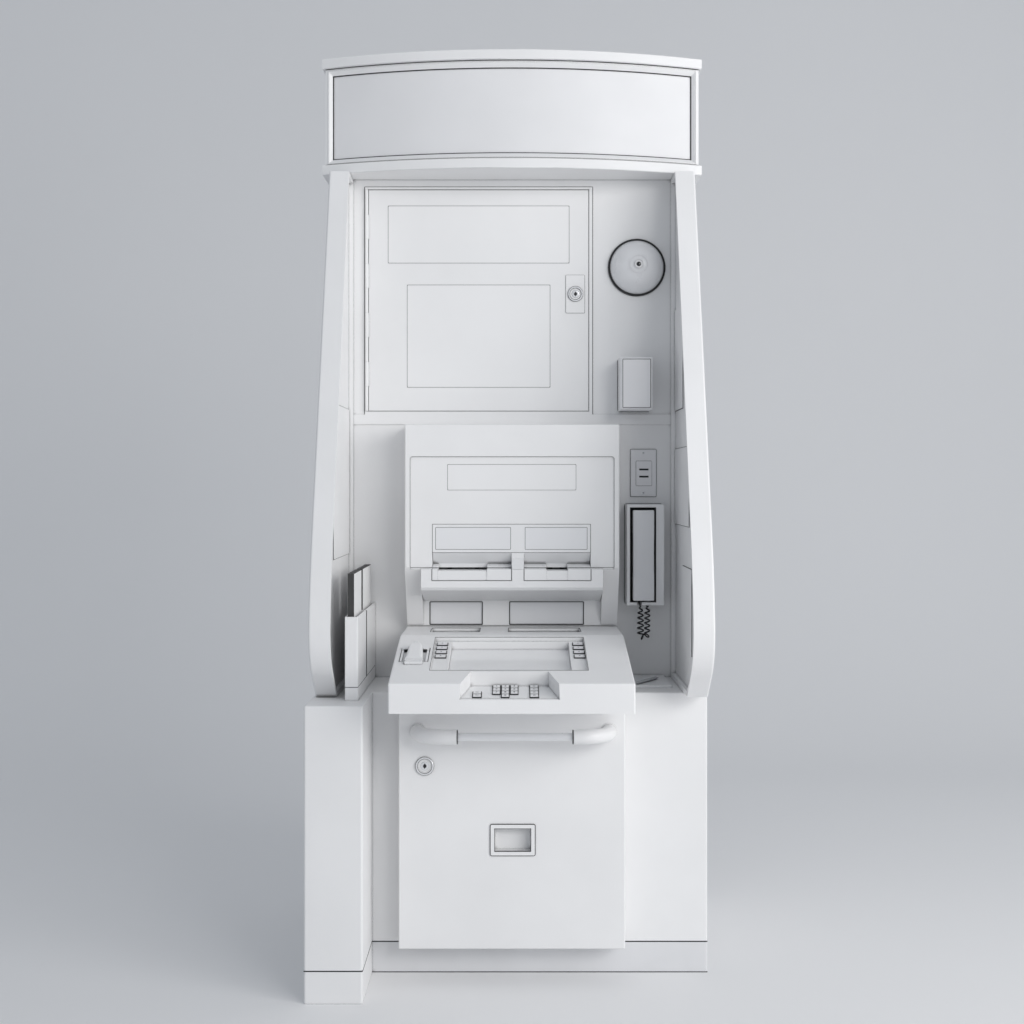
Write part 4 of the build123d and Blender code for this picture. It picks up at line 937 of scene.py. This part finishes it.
def sensor_fittings():
    """Thin seal round the flat face of the proximity sensor's cover."""
    box = extent("sensor_box")
    seal = frame_ring(box.left + 6.3, box.right - 6.3, box.bottom + 6.3, box.top - 6.3, 1.3,
                      box.front - 0.4, box.front + 0.25, 0.3)
    add_rubber("sensor_seal", seal, "fitting_plastic")


def handset():
    """Telephone handset: a flat-fronted grip with a rounded cup at each end."""
    box = extent("handset")
    middle = (box.left + box.right) / 2
    half = (box.right - box.left) / 2
    rings = []
    for z, shrink, dish in ((box.bottom, 1.6, 0), (box.bottom + 1, 0.5, 0), (box.bottom + 3, 0, 0),
                            (box.bottom + 62, 0, 0), (box.bottom + 78, 0.3, 1.5), (box.top - 78, 0.3, 1.5),
                            (box.top - 62, 0, 0), (box.top - 3, 0, 0), (box.top - 1, 0.5, 0),
                            (box.top, 1.6, 0)):
        section = rounded(middle - half + shrink, middle + half - shrink, 50, box.front - shrink - dish, 3)
        rings.append([at(x, a, z) for x, a in section])
    parts = [loft(rings)]
    for low in (box.bottom, box.top - 62):
        cup = []
        for ahead, shrink in ((box.back + 0.2, 5.0), (box.back + 1.5, 2.0), (box.back + 5, 0.6),
                              (box.back + 12, 0.1), (50.5, 0.1)):
            outline = rounded(box.left + shrink, box.right - shrink, low + shrink, low + 62 - shrink, 6, 6)
            cup.append([at(x, ahead, z) for x, z in outline])
        parts.append(loft(cup))
    piece = add_piece("telephone_handset", join(*parts), "handset_plastic", "phone_plastic", "handset",
                      sharp=40)
    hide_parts("handset")
    back = Vector((0, 1, 0))
    for name, z in (("mouth", box.bottom + 31), ("ear", box.top - 31)):
        centre = at(middle, box.back + 0.4, z)
        discs = [lathe([(0, -0.2), (17, -0.2), (17.6, 0.1), (17.6, 0.3), (0, 0.3)], centre, back, 48)]
        for radius, count in ((4.5, 6), (9.0, 12), (13.5, 18)):
            for k in range(count):
                turn = tau * k / count
                spot = centre + spoke(Vector((1, 0, 0)), Vector((0, 0, 1)), turn, radius)
                discs.append(lathe([(0, 0.3), (1.1, 0.3), (1.1, 0.4), (0, 0.4)], spot, back, 10))
        add_rubber(f"handset_{name}_grille", join(*discs), "phone_plastic", "handset")


def cradle_fittings():
    """Dark lining of the cradle's recess and its hook switch."""
    base = extent("phone_base")
    floor = panel(298.4, 363.4, 28, 29, base.bottom + 8.6, base.top - 8.6, 1.5, 0.3)
    walls = [slab(x, x + 1, 28, 61.2, base.bottom + 8.3, base.top - 8.3, 0.3) for x in (298, 362.9)]
    walls.append(slab(298, 363.9, 28, 61.2, base.top - 9.2, base.top - 8.2, 0.3))
    add_rubber("cradle_lining", join(floor, *walls), "phone_plastic")
    add_piece("hook_switch", slab(325, 338, 29, 37, 1000, 1012, 2), "phone_plastic")


# ---- envelopes, tray and pen
SHEET_PITCH, SHEET_THICK = 1.5, 1.05


def envelope_stacks():
    """Stacks of single envelopes standing in the rack, each a little out of line."""
    for name in ("envelope_stack_front", "envelope_stack_rear"):
        box = extent(name)
        rng = random.Random(name)
        sheets = []
        count = int((box.right - box.left) / SHEET_PITCH)
        for k in range(count):
            left = box.left + k * SHEET_PITCH + 0.2
            drop, slip = rng.uniform(0, 1.6), rng.uniform(0, 1.0)
            sheets.append(slab(left, left + SHEET_THICK, box.back + 0.5 + slip, box.front - 1.2 + slip,
                               box.bottom, box.top - drop, 0.3, 1))
        piece = add_piece(f"{name}_sheets", join(*sheets), "envelope_paper", body=name)
        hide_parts(name)
        # Dark plates over each stack's front and top: painted shade between the sheets.
        middle = (box.left + 0.6, box.right - 1.2)
        edge_shade_plates = join(slab(*middle, box.front - 1.1, box.front - 0.1, box.bottom + 2, box.top - 1, 0.3),
                     slab(*middle, box.back + 2, box.front - 0.6, box.top - 1.5, box.top - 0.2, 0.3))
        add_piece(f"{name}_flaps", edge_shade_plates, "envelope_edge_shade", "envelope_paper", name)


def pen():
    """Ball pen: tapered barrel, grip rings, tip and clip."""
    low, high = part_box("pen")
    axis_z = (low.z + high.z) / 2
    start, end = Vector((304 * MM, WALL_Y - 184 * MM, axis_z)), Vector((368 * MM, WALL_Y - 82 * MM, axis_z))
    axis = (end - start).normalized()
    long = (end - start).length / MM
    profile = [(0, 0.3), (2.6, 0.3), (3.3, 1.2), (3.6, 4), (3.9, 30), (3.9, long - 46)]
    for ring in range(5):
        z = long - 44 + 5 * ring
        profile += [(3.9, z), (3.5, z + 0.7), (3.5, z + 2.2), (3.9, z + 2.9)]
    profile += [(3.7, long - 17), (3.0, long - 12), (1.4, long - 4), (0.9, long - 2.5), (0.5, long - 0.3),
                (0, long - 0.1)]
    piece = add_piece("ball_pen", lathe(profile, start, axis, 28), "pen_plastic", body="pen")
    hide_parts("pen")
    up = Vector((0, 0, 1))
    side = axis.cross(up)
    outline = [start + axis * a * MM + up * 3.4 * MM + side * s * MM for a, s in
               ((4, -1.2), (36, -1.0), (38, 0), (36, 1.0), (4, 1.2))]
    add_piece("pen_clip", prism(outline, up * 0.55 * MM, 0.15), "bare_steel", "pen_plastic", "pen")


# ---- safe door, rail and cup
def door_hardware():
    """Rail collars and wall roses of the safe door."""
    for name, node_x, toward in (("left", -125, -1), ("right", 140, 1)):
        collar = lathe([(9.1, 0), (16.4, 0), (16.4, 1.0), (15.6, 1.8), (9.1, 1.8)],
                       at(node_x - toward * 0.1, 418, 586), Vector((-toward, 0, 0)), 48)
        add_rubber(f"rail_collar_{name}", collar, "rail_plastic", "safe_door")
    for name, x in (("left", -219), ("right", 226)):
        rose = lathe([(17.1, 0.1), (19.2, 0.1), (19.2, 1.4), (18.4, 2.2), (17.1, 2.2)],
                     at(x, 341, 586), sides=56)
        add_piece(f"rail_rose_{name}", rose, "rail_plastic", body="safe_door")


def bolt_work():
    """Three locking bolts, their carrier bar and the cover plate, inside the safe door."""
    profile = [(0, 0), (7.5, 0), (8.5, 1.5), (8.5, 48), (0, 48)]
    bolts = [lathe(profile, at(-254, 300, z), Vector((1, 0, 0)), 28) for z in (200, 368, 560)]
    add_piece("locking_bolts", join(*bolts), "bare_steel", body="safe_door")
    bar = slab(-212, -190, 296, 304, 150, 480, 2)
    links = [slab(-214, -206, 293, 307, z - 12, z + 12, 2) for z in (200, 368)]
    add_piece("bolt_carrier", join(bar, *links), "galvanised", "bare_steel", "safe_door")
    cover = panel(-180, 232, 279, 281, 120, 285, 8, 0.6)
    stiffeners = [slab(-176, 228, 281, 333, z, z + 2, 0.4) for z in (140, 262)]
    add_piece("door_stiffeners", join(cover, *stiffeners), "galvanised", "door_paint", "safe_door")


def cassette_fronts():
    """Handle bars, latches and number plates on the four note cassettes."""
    box = extent("cash_cassettes")
    for level in range(4):
        z0 = box.bottom + 130 * level
        bow_line = ((-52, 222, 70), (-40, 224, 72), (0, 224.5, 72.5), (40, 224, 72), (52, 222, 70))
        bar = tube([at(x, ahead, z0 + up) for x, ahead, up in bow_line], 5, 16)
        ends = [slab(x - 4, x + 4, 206, 226, z0 + 64, z0 + 78, 1.5) for x in (-55, 55)]
        add_piece(f"cassette_handle_{level + 1}", join(bar, *ends), "cassette_plastic")
        frame_rings = []
        for grow, ahead in ((0, box.front), (0, box.front + 3), (4, box.front + 3.6), (4, box.front)):
            frame_rings.append([at(x, ahead, z) for x, z in rounded(-62 - grow, 62 + grow, z0 + 43 - grow,
                                                                    z0 + 92 + grow, 5)])
        add_piece(f"cassette_bezel_{level + 1}", loft(frame_rings, closed=True), "galvanised",
                  "cassette_plastic")
        latch = slab(78, 98, box.front, box.front + 6, z0 + 54, z0 + 82, 2)
        plate = panel(-100, -72, box.front, box.front + 0.8, z0 + 56, z0 + 80, 2, 0.2)
        for name, shape, finish in (("latch", latch, "rail_plastic"), ("plate", plate, "label_film")):
            add_piece(f"cassette_{name}_{level + 1}", shape, finish, "cassette_plastic")


# ---- inside the service compartment
def service_units():
    """Control unit, power supply and slotted cable duct in the overhead compartment."""
    unit = [slab(-330, 20, -290, -60, 1336, 1460, 3)]
    unit += [slab(x, x + 6, -60, -58, 1360, 1430, 0.5) for x in range(-300, -132, 14)]
    fan = at(125, -90, 1378)
    supply = [slab(60, 190, -280, -90, 1336, 1420, 3),
              lathe([(0, 0), (30, 0), (32, 1), (32, 3), (29, 3), (28, 1.2), (0, 1.2)], fan)]
    supply += [hoop(r - 1.4, 1.4, 2.6, fan, 40) for r in (8, 14, 20, 26)]
    duct = [slab(-360, -335, -250, -215, 1480, 1900, 1.5)]
    duct += [slab(-361, -334, -216, -211, z, z + 8, 0.5) for z in range(1486, 1902, 16)]
    chips = [slab(x, x + 30, -297, -292, z, z + 30, 1)
             for x in (-235, -187, -139, -91) for z in (1590, 1660, 1730)]
    for name, parts, finish in (("control_unit", unit, "galvanised"),
                                ("control_unit_ports", [panel(-110, 5, -60, -57, 1350, 1445, 4, 0.6)],
                                 "black_rubber"),
                                ("power_supply", supply, "galvanised"),
                                ("cable_duct", duct, "fitting_plastic"),
                                ("relay_board", [panel(-250, -40, -300, -297, 1560, 1780, 4, 0.5)],
                                 "board_green"),
                                ("relay_board_chips", chips, "cassette_plastic")):
        add_piece(name, join(*parts), finish, "cabinet_paint")


# ---- rear
def rear_fittings():
    """Screws round the rear cover and the rubber gland at the cable inlet."""
    cover = extent("rear_cover")
    rear = cover.back
    spots = [(x, z) for x in (cover.left + 14, cover.right - 14)
             for z in (cover.bottom + 14, 1003, 1305, 1607, cover.top - 14)]
    spots += [(x, z) for x in (-140, 140) for z in (cover.bottom + 14, cover.top - 14)]
    add_piece("rear_cover_screws", join(*[screw_head(x, rear, z, 5.5, -1) for x, z in spots]), "zinc_screw",
              "plinth_paint")
    gland = lathe([(21, 0), (27, 0), (30, 1), (30, 4), (27, 6), (22, 6), (21, 4.5)], at(380, rear, 130),
                  Vector((0, 1, 0)), 56)
    add_rubber("inlet_grommet", gland, "cabinet_paint")


def dress_cad():
    """Gives every CAD node the finish of its material slot."""
    for part in frame["record"]["subparts"]:
        target = frame["nodes"][part["node"]]
        target.data.materials.clear()
        target.data.materials.append(LOOKS[part["material_slot"]])


make_looks()
make_camera()
handset_cord()
make_studio()
dress_cad()
cord_bushes()
canopy_sign_frame()
label_sheets()
seals()
rack_seams()
locks()
posters()
windows()
slot_rollers()
key_collars()
key_legends()
screen_bezel()
vein_reader()
dome_fittings()
outlet_fittings()
sensor_fittings()
handset()
cradle_fittings()
envelope_stacks()
pen()
door_hardware()
bolt_work()
cassette_fronts()
service_units()
rear_fittings()
